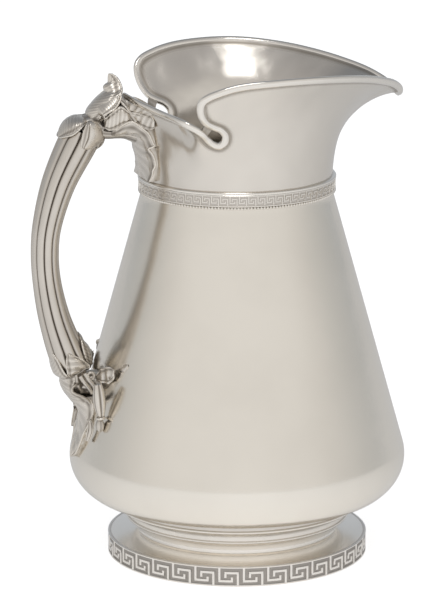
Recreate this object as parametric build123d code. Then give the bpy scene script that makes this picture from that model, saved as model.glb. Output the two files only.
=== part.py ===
from build123d import *
from math import acos, cos, hypot, pi, radians, sin, tan
import os

os.makedirs("parts", exist_ok=True)

# Sizes in mm. The origin is on the pitcher's axis, in the plane it stands on.
# +X is towards the spout, -X towards the handle, +Z is up.

# Sheet and wire
SHEET = 1.0                # wall of the body and the neck
FOOT_SHEET = 1.2           # wall of the foot
BAND = 1.4                 # thickness of the two rolled key bands
RIM_WIRE = 1.5             # radius of the wire round the mouth

# Foot, from the floor up
FOOT_R = 60.0
FOOT_BAND_H = 9.4
SEAT_H = 1.6               # flat seat ring inside the foot band
SEAT_W = 3.0
STEM_R, STEM_Z = 46.2, 11.4
LOWER_STEP_R, LOWER_STEP_Z = 50.5, 17.4
UPPER_STEP_R, UPPER_STEP_Z = 56.2, 23.8
FOOT_TOP_Z = 27.6
LOWER_STEP = (0.4, 1.4)    # rise of the two steps: outwards, up
UPPER_STEP = (0.2, 1.5)
STEP_WIRE = 0.8            # how far the half-round wires stand out

# Body, spun from one sheet: a flat floor, a round belly and a long cone
BELLY_R, BELLY_Z, BELLY_CURVE = 77.5, 46.5, 19.0
CONE_SLOPE = 0.28          # the cone grows by this much for each mm down
NECK_R = 43.6

# Collar and neck
JOINT_Z = 174.0            # the neck is butted on the body here, behind the band
COLLAR_Z = JOINT_Z - 2.6   # the key band starts this far below the joint
COLLAR_H = 5.2
COLLAR_TOP_H = 1.5
BEAD_R = 0.75
BEAD_SEAT = 0.15           # the band's edge is let into the beads by this much
BEAD_Z = COLLAR_Z + BEAD_SEAT - 2 * BEAD_R
NECK_Z = JOINT_Z + 6.0     # the neck is straight up to here
# The rim, the ear paths and the castings are drawn for a neck and a body of these sizes, and
# follow the neck and the body from there
DRAWN_NECK_R, DRAWN_JOINT_Z = 43.6, 174.0
DRAWN_BODY_R, DRAWN_BODY_Z = 67.73, 84.0
# Rim of the neck: angle from the spout, radius, height, slope of the sheet
RIM = [
    (0, 77.5, 211.2, 0), (7, 75.4, 214.6, 8), (14, 71.3, 218.4, 20), (25, 66.2, 222.0, 34),
    (38, 62.4, 225.0, 44), (55, 60.6, 227.6, 50), (74, 60.3, 229.2, 52), (92, 59.8, 229.0, 56),
    (107, 60.0, 227.4, 61), (118, 61.8, 223.6, 66), (127, 62.6, 218.0, 66),
    (138, 58.2, 218.4, 56), (152, 55.8, 220.2, 52), (180, 56.0, 221.6, 54),
]
EAR_ANGLE = 114            # from here the rim leaves the neck's own edge
# The rim wire behind the ear, down round the eyelet and back to the handle; the left side is
# hammered a little lower than the right one
RIGHT_PATH = [
    (-29.2, -54.5, 223.5), (-32.0, -53.3, 221.3), (-32.6, -52.0, 218.4), (-31.5, -50.1, 214.5),
    (-28.8, -48.2, 211.0), (-25.1, -46.9, 208.9), (-21.6, -46.1, 207.2), (-19.1, -44.8, 204.2),
    (-19.1, -43.5, 201.0), (-21.1, -42.4, 199.3), (-24.0, -42.0, 200.1), (-27.2, -43.0, 202.8),
    (-30.5, -44.9, 206.1), (-37.0, -43.1, 210.1), (-42.7, -27.8, 212.0), (-49.0, -14.2, 214.4),
    (-51.8, -3.2, 215.8), (-52.2, 0.0, 216.0),
]
LEFT_PATH = [
    (-29.2, 54.5, 223.5), (-32.0, 53.0, 220.7), (-32.6, 51.3, 217.0), (-31.5, 48.6, 211.9),
    (-28.8, 46.0, 207.6), (-25.1, 44.7, 205.3), (-21.6, 44.2, 203.6), (-19.1, 43.3, 200.6),
    (-19.1, 42.2, 197.4), (-21.1, 41.0, 195.7), (-24.0, 40.3, 196.5), (-27.2, 40.8, 199.2),
    (-30.5, 42.0, 202.5), (-37.0, 36.8, 206.7), (-42.7, 24.8, 209.2), (-49.0, 11.2, 213.0),
    (-51.8, 3.2, 215.4), (-52.2, 0.0, 216.0),
]
PINCH, LOOP = 4, slice(5, 12)   # where the path narrows, and its points round the eyelet

# Handle
GRIP_TOP, GRIP_MID, GRIP_END = (-73.5, 197.8), (-90.3, 150.0), (-79.5, 97.0)
GRIP_DEPTH, GRIP_WIDTH = 6.6, 7.4          # half sizes at mid height
GRIP_SWELL = 0.28                          # the ends are this much larger
REEDS = 10
REED_DEPTH = 0.75


def spun(outline, wall, side):
    """Turn an open outline (radius, height) of sheet with this wall round the axis."""
    strip = Wire(outline).offset_2d(wall, kind=Kind.INTERSECTION, side=side)
    return revolve(Plane.XZ * Face(strip), Axis.Z)


def turned(*points):
    """Turn a closed outline of (radius, height) points round the axis."""
    return revolve(Plane.XZ * make_face(Polyline(*points, close=True)), Axis.Z)


def ring(radius, wire, z):
    return Pos(0, 0, z) * Torus(radius, wire)


def half_round(low, rise, out):
    """Half-round wire whose flat back lies on the face that rises from this point."""
    high = (low[0] + rise[0], low[1] + rise[1])
    mid = ((low[0] + high[0]) / 2 + out, (low[1] + high[1]) / 2)
    section = Wire([line(low, high), arc(low, mid, high)])
    return revolve(Plane.XZ * Face(section), Axis.Z)


def line(a, b):
    return Line(a, b).edge()


def arc(a, b, c):
    return ThreePointArc(a, b, c).edge()


def bow(a, b, c):
    """Shallow curve from a to c, drawn towards b."""
    return Bezier(a, b, c).edge()


def mirrored(shape):
    return mirror(shape, Plane.XZ)


def wire_along(points, radius):
    """Round wire along a path of straight runs and tangent arcs."""
    pts = [Vector(*p) for p in points]
    bends = []
    for before, here, after in zip(pts, pts[1:], pts[2:]):
        a, b = here - before, after - here
        turn = acos(max(-1.0, min(1.0, a.normalized().dot(b.normalized()))))
        bends.append(0.46 * min(a.length, b.length) / tan(turn / 2))
    path = FilletPolyline(*pts, radius=bends)
    start = Plane(origin=path @ 0, z_dir=path % 0)
    return sweep(start * Circle(radius), path=path, transition=Transition.ROUND)


def leaf(spine, half_widths, front, cup, thick):
    """Curved sheet leaf: one crescent section at each spine point.

    The front is the direction that the leaf's hollow back faces away from."""
    pts = [Vector(*p) for p in spine]
    sections = []
    for i, (p, w) in enumerate(zip(pts, half_widths)):
        t = (pts[min(i + 1, len(pts) - 1)] - pts[max(i - 1, 0)]).normalized()
        side = Vector(*front).cross(t).normalized()
        c = cup * w / max(half_widths)
        edge = min(thick * 0.5, 0.5)
        outline = [
            bow((-w, 0), (0, 2 * c), (w, 0)), line((w, 0), (w, -edge)),
            bow((w, -edge), (0, 2 * (c - thick) + edge), (-w, -edge)),
            line((-w, -edge), (-w, 0)),
        ]
        plane = Plane(origin=p, x_dir=side, z_dir=t)
        if plane.y_dir.dot(Vector(*front)) < 0:
            plane = Plane(origin=p, x_dir=-side, z_dir=t)
        sections.append(plane * Face(Wire(outline)))
    return loft(sections)


def rod(spine, sizes):
    """Solid bar of oval sections: half size across the spine, then along Y."""
    pts = [Vector(*p) for p in spine]
    sections = []
    for i, (p, (a, b)) in enumerate(zip(pts, sizes)):
        t = (pts[min(i + 1, len(pts) - 1)] - pts[max(i - 1, 0)]).normalized()
        across = Vector(0, 1, 0).cross(t).normalized()
        sections.append(Plane(origin=p, x_dir=across, z_dir=t) * Ellipse(a, b))
    return loft(sections)


def rim_value(column, angle):
    """Smooth value between the rows of RIM, level at the spout and at the back."""
    angles = [row[0] for row in RIM]
    values = [row[column] + (0, neck_shift, neck_lift, 0)[column] for row in RIM]
    angles = [-angles[1]] + angles + [360 - angles[-2]]
    values = [values[1]] + values + [values[-2]]
    k = 1
    while k < len(angles) - 3 and angle > angles[k + 1]:
        k += 1
    h = angles[k + 1] - angles[k]
    q = (angle - angles[k]) / h
    m0 = (values[k + 1] - values[k - 1]) / (angles[k + 1] - angles[k - 1]) * h
    m1 = (values[k + 2] - values[k]) / (angles[k + 2] - angles[k]) * h
    return (
        (2 * q**3 - 3 * q**2 + 1) * values[k] + (q**3 - 2 * q**2 + q) * m0
        + (3 * q**2 - 2 * q**3) * values[k + 1] + (q**3 - q**2) * m1
    )


def rim_point(angle):
    r, z = rim_value(1, angle), rim_value(2, angle)
    return (r * cos(radians(angle)), -r * sin(radians(angle)), z)


def neck_section(angle):
    """Strip of neck sheet in the upright plane at this angle."""
    r, z, slope = (rim_value(i, angle) for i in (1, 2, 3))
    run, rise, slope = r - NECK_R, z - NECK_Z, radians(slope)
    reach = 0.378 * hypot(rise, run)
    outer = [
        (NECK_R, NECK_Z), (NECK_R + 0.06 * run, NECK_Z + 0.55 * rise),
        (r - reach * cos(slope), z - reach * sin(slope)), (r, z),
    ]
    lift = (-sin(slope) * SHEET, cos(slope) * SHEET)
    inner = [(NECK_R - SHEET, NECK_Z), (outer[1][0] - SHEET, outer[1][1])]
    inner += [(p[0] + lift[0], p[1] + lift[1]) for p in outer[2:]]
    strip = Wire([
        line((NECK_R - SHEET, JOINT_Z), (NECK_R, JOINT_Z)),
        line((NECK_R, JOINT_Z), outer[0]),
        Bezier(*outer).edge(),
        line(outer[3], inner[3]),
        Bezier(*inner[::-1]).edge(),
        line(inner[0], (NECK_R - SHEET, JOINT_Z)),
    ])
    upright = Plane(
        origin=(0, 0, 0), x_dir=(cos(radians(angle)), -sin(radians(angle)), 0),
        z_dir=(sin(radians(angle)), cos(radians(angle)), 0),
    )
    if upright.y_dir.Z < 0:
        upright = Plane(origin=(0, 0, 0), x_dir=upright.x_dir, z_dir=-upright.z_dir)
    return upright * Face(strip)


def side_cut(points, depth):
    """Solid that cuts a side-view outline (x, z) through one side of the neck."""
    return extrude(Plane.XZ * make_face(Polyline(*points, close=True)), depth)


def ear_path(points):
    """A path behind the ear, on the neck there is."""
    grow = [1 + neck_shift / hypot(x, y) for x, y, z in points]
    return [(x * k, y * k, z + neck_lift) for k, (x, y, z) in zip(grow, points)]


nodes = {}

# Foot
seat_r = FOOT_R - BAND
lip = 0.4
nodes["foot_fret_band"] = turned(
    (seat_r, 0), (FOOT_R, 0), (FOOT_R, 1), (FOOT_R - lip, 1), (FOOT_R - lip, FOOT_BAND_H - 1),
    (FOOT_R, FOOT_BAND_H - 1), (FOOT_R, FOOT_BAND_H), (seat_r, FOOT_BAND_H),
)
nodes["foot_seat_ring"] = turned(
    (seat_r - SEAT_W, 0), (seat_r, 0), (seat_r, SEAT_H), (seat_r - SEAT_W, SEAT_H),
)
lower_step_top = (LOWER_STEP_R + LOWER_STEP[0], LOWER_STEP_Z + LOWER_STEP[1])
upper_step_top = (UPPER_STEP_R + UPPER_STEP[0], UPPER_STEP_Z + UPPER_STEP[1])
foot_outline = [
    line((seat_r, FOOT_BAND_H - 0.2), (STEM_R, STEM_Z)),
    arc((STEM_R, STEM_Z), (STEM_R + 0.2, STEM_Z + 3.6), (LOWER_STEP_R, LOWER_STEP_Z)),
    line((LOWER_STEP_R, LOWER_STEP_Z), lower_step_top),
    arc(
        lower_step_top, (LOWER_STEP_R + 1.3, LOWER_STEP_Z + 4.6), (UPPER_STEP_R, UPPER_STEP_Z),
    ),
    line((UPPER_STEP_R, UPPER_STEP_Z), upper_step_top),
    line(upper_step_top, (upper_step_top[0] + 0.2, FOOT_TOP_Z)),
]
nodes["foot_shell"] = spun(foot_outline, FOOT_SHEET, Side.LEFT)
nodes["foot_lower_wire"] = half_round((LOWER_STEP_R, LOWER_STEP_Z), LOWER_STEP, STEP_WIRE)
nodes["foot_upper_wire"] = half_round((UPPER_STEP_R, UPPER_STEP_Z), UPPER_STEP, STEP_WIRE)

# Body
away = hypot(1, CONE_SLOPE)
centre_r = BELLY_R - BELLY_CURVE
belly_low = radians(60)    # the round of the belly ends this far below its widest point


def body_edges(inset):
    """Outline of the body from the middle of its floor to the top, inset by this much."""
    curve = BELLY_CURVE - inset
    low = (centre_r + curve / away, BELLY_Z + curve * CONE_SLOPE / away)
    high = (NECK_R - inset, low[1] + (low[0] - NECK_R + inset) / CONE_SLOPE)
    under = (centre_r + curve * cos(belly_low), BELLY_Z - curve * sin(belly_low))
    floor = FOOT_TOP_Z + inset
    return [
        line((0, floor), (UPPER_STEP_R, floor)),
        line((UPPER_STEP_R, floor), under),
        arc(under, (centre_r + curve, BELLY_Z), low),
        line(low, high),
        line(high, (NECK_R - inset, JOINT_Z)),
    ]


body_strip = Wire(
    body_edges(0) + [line((NECK_R, JOINT_Z), (NECK_R - SHEET, JOINT_Z))]
    + body_edges(SHEET) + [line((0, FOOT_TOP_Z + SHEET), (0, FOOT_TOP_Z))]
)
nodes["body_shell"] = revolve(Plane.XZ * Face(body_strip), Axis.Z)
cone_low = (centre_r + BELLY_CURVE / away, BELLY_Z + BELLY_CURVE * CONE_SLOPE / away)


def cone_r(z):
    """Radius of the body's outside on its cone."""
    return cone_low[0] - CONE_SLOPE * (z - cone_low[1])


neck_shift, neck_lift = NECK_R - DRAWN_NECK_R, JOINT_Z - DRAWN_JOINT_Z
body_shift = cone_r(DRAWN_BODY_Z) - DRAWN_BODY_R


# Collar
collar_r = NECK_R
collar_out = NECK_R + BAND
collar_end = COLLAR_Z + COLLAR_H
nodes["collar_bead_wire"] = ring(NECK_R + 0.8, BEAD_R, BEAD_Z + BEAD_R)
nodes["collar_fret_band"] = turned(
    (collar_r, COLLAR_Z), (collar_out, COLLAR_Z), (collar_out, COLLAR_Z + 0.6),
    (collar_out - 0.35, COLLAR_Z + 0.6), (collar_out - 0.35, collar_end - 0.6),
    (collar_out, collar_end - 0.6), (collar_out, collar_end), (collar_r, collar_end),
)
top_wire = Wire([
    line((collar_r, collar_end), (collar_out + 0.2, collar_end)),
    arc(
        (collar_out + 0.2, collar_end), (collar_out + 0.1, collar_end + 0.6 * COLLAR_TOP_H),
        (collar_r, collar_end + COLLAR_TOP_H),
    ),
    line((collar_r, collar_end + COLLAR_TOP_H), (collar_r, collar_end)),
])
nodes["collar_top_wire"] = revolve(Plane.XZ * Face(top_wire), Axis.Z)

# Neck: one side, mirrored, with the notch behind each ear and the eyelets cut out
neck_side = loft([neck_section(a) for a in range(0, 181, 6)])
neck = neck_side + mirrored(neck_side)
rim_angles = [0, 7, 16, 28, 42, 58, 75, 92, 104, EAR_ANGLE]
for name, points, side in (("right", RIGHT_PATH, 1), ("left", LEFT_PATH, -1)):
    path = ear_path(points)
    outline = [(x, z) for x, y, z in path]
    here, there = outline[PINCH], outline[LOOP.stop]
    pinch = ((here[0] + there[0]) / 2, (here[1] + there[1]) / 2)
    notch = [(outline[0][0], 260)] + outline[: LOOP.start] + [pinch] + outline[LOOP.stop:]
    neck -= side_cut(notch + [(-80, outline[-1][1]), (-80, 260)], 90 * side)
    neck -= side_cut(outline[LOOP], 90 * side)
    front = [(x, y * side, z) for x, y, z in map(rim_point, rim_angles)]
    nodes["rim_wire_" + name] = wire_along(front + path, RIM_WIRE)
nodes["neck_shell"] = neck

# Handle grip: reeded oval sections along one arc
grip_arc = ThreePointArc(
    (GRIP_TOP[0] - neck_shift, 0, GRIP_TOP[1] + neck_lift),
    (GRIP_MID[0] - (neck_shift + body_shift) / 2, 0, GRIP_MID[1] + neck_lift / 2),
    (GRIP_END[0] - body_shift, 0, GRIP_END[1]),
)
grip_sections = []
for i in range(9):
    t = i / 8
    swell = 1 + GRIP_SWELL * abs(2 * t - 1) ** 2.2
    a, b = GRIP_DEPTH * swell, GRIP_WIDTH * (1 + 0.5 * (swell - 1))
    reeds = []
    for k in range(REEDS):
        start, mid, end = ((k + q) * 2 * pi / REEDS for q in (0, 0.5, 1))
        low = 1 - REED_DEPTH / a
        reeds.append(arc(
            (a * low * cos(start), b * low * sin(start)), (a * cos(mid), b * sin(mid)),
            (a * low * cos(end), b * low * sin(end)),
        ))
    tangent = grip_arc % t
    across = Vector(0, 1, 0).cross(tangent)
    grip_sections.append(
        Plane(origin=grip_arc @ t, x_dir=across, z_dir=tangent) * Face(Wire(reeds))
    )
grip = loft(grip_sections)
nodes["handle_grip"] = grip


def pair(name, shape):
    """The same casting on both sides of the handle; the shape is the -Y one."""
    nodes[name + "_right"] = shape
    nodes[name + "_left"] = mirrored(shape)


# Upper castings, from the grip towards the neck
nodes["upper_knot"] = rod(
    [(-71.5, 0, 201.5), (-69.2, 0, 203.2), (-66.5, 0, 203.6), (-63.5, 0, 202.6)],
    [(7.0, 8.2), (6.2, 7.0), (5.4, 6.4), (5.6, 7.0)],
)
nodes["upper_sepal_outer"] = leaf(
    [(-70.6, 0, 207.2), (-75.0, 0, 207.6), (-79.0, 0, 204.8), (-81.8, 0, 201.2), (-83.6, 0, 198.4)],
    [4.6, 6.8, 6.4, 4.2, 0.8], (-1, 0, 1), 2.2, 2.0,
)
pair("upper_sepal", leaf(
    [(-67.6, -7.2, 206.2), (-69.2, -9.0, 203.2), (-70.8, -9.4, 199.6), (-72.4, -9.2, 196.4),
     (-73.2, -9.0, 194.4)],
    [2.6, 4.6, 5.0, 3.4, 1.4], (0, -1, 0), 1.4, 1.9,
))
nodes["upper_sepal_inner"] = leaf(
    [(-62.8, 0, 200.6), (-63.8, 0, 197.6), (-65.8, 0, 194.6), (-67.6, 0, 192.4)],
    [4.4, 6.0, 5.0, 1.0], (1, 0, -1), 1.6, 1.9,
)
nodes["upper_branch"] = rod(
    [(-64.2, 0, 202.6), (-59.5, 0, 201.4), (-54.5, 0, 201.2), (-50.0, 0, 200.8), (-46.0, 0, 199.0)],
    [(5.2, 6.6), (4.2, 6.0), (4.0, 6.0), (4.2, 7.4), (5.0, 9.0)],
)
pair("upper_knuckle", leaf(
    [(-62.0, -5.6, 202.0), (-58.6, -6.6, 205.6), (-54.8, -6.6, 207.6), (-50.8, -5.6, 207.4)],
    [2.2, 4.6, 4.2, 1.6], (-0.2, -1, 0.5), 1.4, 2.2,
))
nodes["thumb_leaf"] = leaf(
    [(-67.6, 0, 206.4), (-68.4, 0, 210.0), (-65.4, 0, 215.0), (-62.4, 0, 219.4), (-60.8, 0, 223.2),
     (-59.6, 0, 226.4)],
    [4.4, 8.0, 9.2, 6.4, 3.6, 0.8], (-1, 0, 0.4), 3.4, 2.4,
)
pair("thumb_cup", leaf(
    [(-65.4, -6.0, 206.4), (-64.6, -7.6, 210.2), (-62.0, -7.4, 214.6), (-59.4, -5.6, 218.6)],
    [2.6, 4.6, 4.4, 1.8], (-0.35, -1, 0), 1.8, 1.9,
))
pair("upper_scroll", Pos(-62.6, -7.0, 208.0) * Rot(90, 0, 0) * Torus(2.0, 0.95))
nodes["rim_seat"] = rod(
    [(-58.0, 0, 213.0), (-55.6, 0, 216.2), (-53.6, 0, 218.0)],
    [(3.0, 5.0), (2.6, 5.6), (1.8, 6.0)],
)
pair("rim_scroll", rod(
    [(-57.0, -6.0, 209.6), (-55.0, -9.6, 213.0), (-51.0, -12.6, 212.0), (-46.4, -16.0, 208.8),
     (-43.6, -19.0, 205.4)],
    [(1.2, 1.2), (3.0, 1.7), (2.8, 1.7), (2.2, 1.5), (1.0, 1.0)],
))
nodes["neck_leaf"] = leaf(
    [(-51.6, 0, 200.6), (-50.2, 0, 196.4), (-48.2, 0, 191.4), (-46.8, 0, 186.4), (-46.0, 0, 181.2)],
    [6.4, 10.0, 9.4, 7.4, 2.0], (-1, 0, 0), 1.6, 2.0,
)

# Lower castings, from the grip down to the body
nodes["lower_knot"] = rod(
    [(-77.2, 0, 92.4), (-76.6, 0, 88.4), (-76.4, 0, 84.0), (-76.0, 0, 79.6), (-75.0, 0, 75.0)],
    [(7.0, 7.6), (6.8, 7.4), (7.0, 8.4), (4.6, 8.6), (3.4, 8.4)],
)
nodes["lower_sepal_outer"] = leaf(
    [(-83.2, 0, 88.4), (-86.4, 0, 92.4), (-87.6, 0, 97.0), (-88.6, 0, 101.0)],
    [5.0, 6.6, 5.0, 1.0], (-1, 0, 0), 1.8, 2.0,
)
pair("lower_sepal", leaf(
    [(-77.6, -7.6, 90.0), (-78.4, -9.2, 93.4), (-79.6, -9.6, 97.4), (-81.0, -9.0, 101.2)],
    [2.8, 4.6, 3.2, 0.9], (0, -1, 0), 1.2, 1.8,
))
nodes["lower_sepal_inner"] = leaf(
    [(-70.6, 0, 92.6), (-70.8, 0, 97.2), (-72.6, 0, 103.0), (-75.2, 0, 109.0)],
    [4.4, 5.8, 4.4, 1.0], (1, 0, 0), 1.6, 1.9,
)
pair("lower_scroll", Pos(-72.2, -7.6, 89.6) * Rot(90, 0, 0) * Torus(2.4, 1.15))
pair("lower_curl", Pos(-79.6, -7.4, 84.6) * Rot(90, 0, 0) * Torus(1.7, 1.0))
pair("body_leaf", leaf(
    [(-70.8, -4.6, 87.4), (-67.6, -6.6, 90.4), (-64.6, -10.4, 90.8), (-61.8, -15.4, 91.6),
     (-59.2, -19.6, 94.0)],
    [2.4, 4.6, 4.2, 2.8, 0.8], (-0.5, -0.6, 0.4), 1.2, 2.0,
))
nodes["lower_seat"] = rod(
    [(-73.0, 0, 84.2), (-69.6, 0, 84.0), (-67.4, 0, 83.6)],
    [(5.4, 7.0), (5.6, 7.6), (6.0, 8.2)],
)

# Bud drops, hanging beside the lower joint against the body
drop_x, drop_y = -68.6, -19.6
calyx = Wire([
    line((0, 0), (1.9, 0)), arc((1.9, 0), (2.3, 6.0), (1.3, 15.0)), line((1.3, 15.0), (0, 15.0)),
    line((0, 15.0), (0, 0)),
])
calyx = revolve(Plane.XZ * Face(calyx), Axis.Z)
pair("drop_calyx", Pos(drop_x, drop_y, 74.0) * Rot(0, -9, 0) * calyx)
pair("drop_ring", Pos(drop_x - 0.1, drop_y, 73.4) * Torus(1.9, 0.8))
pair("drop_bud", Pos(drop_x - 0.4, drop_y, 69.9) * scale(Sphere(2.5), by=(1, 1, 1.22)))

# Tail leaf down the body, with a small leaf on each side
tail_z = [80.0, 74.0, 67.0, 60.0, 54.0, 50.6]
tail_spine = [(-(cone_r(z) + 2.6 - 0.25 * i), 0, z) for i, z in enumerate(tail_z)]
nodes["tail_leaf"] = leaf(tail_spine, [6.4, 8.6, 8.8, 6.8, 4.4, 1.4], (-1, 0, 0), 2.2, 2.4)
pair("tail_leaflet", leaf(
    [(-70.6, -10.4, 74.0), (-71.8, -13.6, 70.4), (-72.6, -14.8, 66.4), (-73.6, -15.0, 62.0)],
    [1.6, 2.6, 2.2, 0.8], (-1, -0.4, 0), 0.8, 2.0,
))

# The castings keep their places on the neck and on the body wall
for name, shape in nodes.items():
    if name.startswith(("upper_", "thumb_", "rim_seat", "rim_scroll", "neck_leaf")):
        nodes[name] = Pos(-neck_shift, 0, neck_lift) * shape
    elif name.startswith(("lower_", "body_leaf", "drop_", "tail_leaflet")):
        nodes[name] = Pos(-body_shift, 0, 0) * shape

# Soldered pieces meet without running into each other: the first is trimmed by the rest
TRIMS = {
    "foot_shell": ["foot_fret_band", "body_shell"],
    "collar_bead_wire": ["collar_fret_band", "body_shell"],
    "collar_top_wire": ["neck_shell"],
    "collar_fret_band": ["neck_shell", "body_shell"],
    "lower_seat": ["body_shell", "lower_knot"],
    "tail_leaf": ["body_shell", "lower_knot", "lower_seat"],
    "upper_branch": ["upper_knot", "neck_shell"],
    "neck_leaf": ["neck_shell", "upper_branch", "collar_top_wire", "collar_fret_band"],
    "upper_sepal_outer": ["upper_knot", "handle_grip"],
    "upper_sepal_inner": ["upper_knot", "handle_grip", "upper_branch"],
    "lower_sepal_outer": ["lower_knot", "handle_grip"],
    "lower_sepal_inner": ["lower_knot", "handle_grip"],
    "thumb_leaf": ["upper_knot", "upper_sepal_outer"],
    "rim_seat": ["thumb_leaf", "neck_shell", "rim_wire_right", "rim_wire_left"],
}
SIDE_TRIMS = {
    "upper_sepal": ["handle_grip", "upper_knot"],
    "upper_knuckle": ["upper_knot", "upper_branch"],
    "thumb_cup": ["thumb_leaf", "upper_knot"],
    "upper_scroll": ["thumb_leaf", "upper_knot", "upper_branch"],
    "rim_scroll": ["neck_shell", "upper_branch", "rim_seat"],
    "lower_sepal": ["handle_grip", "lower_knot"],
    "lower_scroll": ["lower_knot", "handle_grip"],
    "lower_curl": ["lower_knot"],
    "body_leaf": ["body_shell", "lower_knot", "lower_seat"],
    "drop_calyx": ["body_shell"],
    "drop_ring": ["body_shell"],
    "drop_bud": ["body_shell"],
    "tail_leaflet": ["body_shell", "tail_leaf"],
}
SIDE_PAIRS = [
    ("thumb_cup", "upper_scroll"), ("thumb_cup", "rim_scroll"), ("upper_knuckle", "rim_scroll"),
    ("upper_knuckle", "upper_scroll"), ("lower_scroll", "body_leaf"),
    ("lower_scroll", "lower_sepal"), ("drop_ring", "drop_calyx"), ("drop_ring", "drop_bud"),
    ("thumb_cup", "upper_sepal"),
]


def trim(name, cutters):
    """Cut the other pieces out of this one and keep its largest solid."""
    shape = nodes[name]
    for cutter in cutters:
        shape = shape - nodes[cutter]
    nodes[name] = max(shape.solids(), key=lambda solid: solid.volume)


for name, cutters in TRIMS.items():
    trim(name, cutters)
for name, cutters in SIDE_TRIMS.items():
    trim(name + "_right", cutters)
for kept, cut in SIDE_PAIRS:
    trim(cut + "_right", [kept + "_right"])
for name in SIDE_TRIMS:
    nodes[name + "_left"] = mirrored(nodes[name + "_right"])

for name, shape in nodes.items():
    export_step(shape, f"parts/{name}.step")
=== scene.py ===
"""Silver pitcher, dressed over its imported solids: spun body and foot, key bands, cast handle mounts."""
import logging
import math
from dataclasses import dataclass
from enum import Enum

import bmesh
import bpy
import numpy as np
from mathutils import Matrix, Vector
from mathutils.kdtree import KDTree


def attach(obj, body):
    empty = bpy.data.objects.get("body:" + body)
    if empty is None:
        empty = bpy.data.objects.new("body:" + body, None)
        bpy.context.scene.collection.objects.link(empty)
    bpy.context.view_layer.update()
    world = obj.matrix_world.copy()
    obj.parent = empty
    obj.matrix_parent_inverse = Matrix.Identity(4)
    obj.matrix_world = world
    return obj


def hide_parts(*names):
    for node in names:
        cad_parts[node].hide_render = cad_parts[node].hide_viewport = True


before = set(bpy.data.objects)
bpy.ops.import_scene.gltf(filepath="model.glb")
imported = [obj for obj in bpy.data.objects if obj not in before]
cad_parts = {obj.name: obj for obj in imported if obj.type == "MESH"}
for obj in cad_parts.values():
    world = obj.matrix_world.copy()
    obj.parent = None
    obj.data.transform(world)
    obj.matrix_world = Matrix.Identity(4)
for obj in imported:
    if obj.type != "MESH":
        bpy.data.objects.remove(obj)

log = logging.getLogger("pitcher")
MM = 0.001
ACROSS = np.array([0.0, 1.0, 0.0])     # square to the handle's plane
Array = np.ndarray
Points = tuple[tuple[float, ...], ...]
COLOR_A, COLOR_B, COLOR_OUT = 6, 7, 2  # colour sockets of a Mix node


class Slot(Enum):
    """Groups that the pieces are sorted into; they are passed along with each piece, and nothing reads them.
    """

    SHEET = "silver_sheet"
    WIRE = "silver_wire"
    BAND = "silver_band"
    CAST = "silver_cast"


# Curves and sheets


def through(points: Points | list, count: int) -> Array:
    """Smooth curve through points of any dimension.

    Args:
        points: the points, in order.
        count: how many points the curve gets, evenly spaced along it.

    Returns:
        The points of the curve, one per row.
    """
    p = np.array(points, float)
    if len(p) < 3:
        t = np.linspace(0, 1, count)[:, None]
        return p[0] * (1 - t) + p[-1] * t
    p = np.vstack([2 * p[0] - p[1], p, 2 * p[-1] - p[-2]])
    out = []
    for a, b, c, d in zip(p, p[1:], p[2:], p[3:]):
        steps = [np.linalg.norm(v) ** 0.5 + 1e-9 for v in (b - a, c - b, d - c)]
        m0 = steps[1] * ((b - a) / steps[0] - (c - a) / (steps[0] + steps[1]) + (c - b) / steps[1])
        m1 = steps[1] * ((c - b) / steps[1] - (d - b) / (steps[1] + steps[2]) + (d - c) / steps[2])
        q = np.linspace(0, 1, 24, endpoint=False)[:, None]
        out.append((2*q**3 - 3*q**2 + 1) * b + (q**3 - 2*q**2 + q) * m0
                   + (3*q**2 - 2*q**3) * c + (q**3 - q**2) * m1)
    curve = np.vstack(out + [p[-2:-1]])
    run = np.concatenate([[0], np.cumsum(np.linalg.norm(np.diff(curve, axis=0), axis=1))])
    at = np.linspace(0, run[-1], count)
    return np.stack([np.interp(at, run, curve[:, k]) for k in range(curve.shape[1])], axis=1)


def unit(v: Array) -> Array:
    """Vectors of length one along the last axis."""
    return v / np.maximum(np.linalg.norm(v, axis=-1, keepdims=True), 1e-12)


def grid_faces(rows: int, cols: int, start: int = 0, wrap: bool = False) -> list[tuple[int, ...]]:
    """Quads of a grid of points.

    Args:
        rows: number of rows.
        cols: number of columns.
        start: index of the first point.
        wrap: the last column joins the first.

    Returns:
        The corner indices of each quad.
    """
    last = cols if wrap else cols - 1
    return [
        (start + i * cols + j, start + i * cols + (j + 1) % cols,
         start + (i + 1) * cols + (j + 1) % cols, start + (i + 1) * cols + j)
        for i in range(rows - 1) for j in range(last)
    ]


def end_faces(rows: int, cols: int) -> list[tuple[int, int, int]]:
    """Fans that close both ends of a run of rings.

    Args:
        rows: number of rings.
        cols: points of a ring; the two end points follow the last ring.

    Returns:
        The triangles at the start and at the end.
    """
    n = rows * cols
    start = [(n, (j + 1) % cols, j) for j in range(cols)]
    return start + [(n + 1, n - cols + j, n - cols + (j + 1) % cols) for j in range(cols)]


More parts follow.
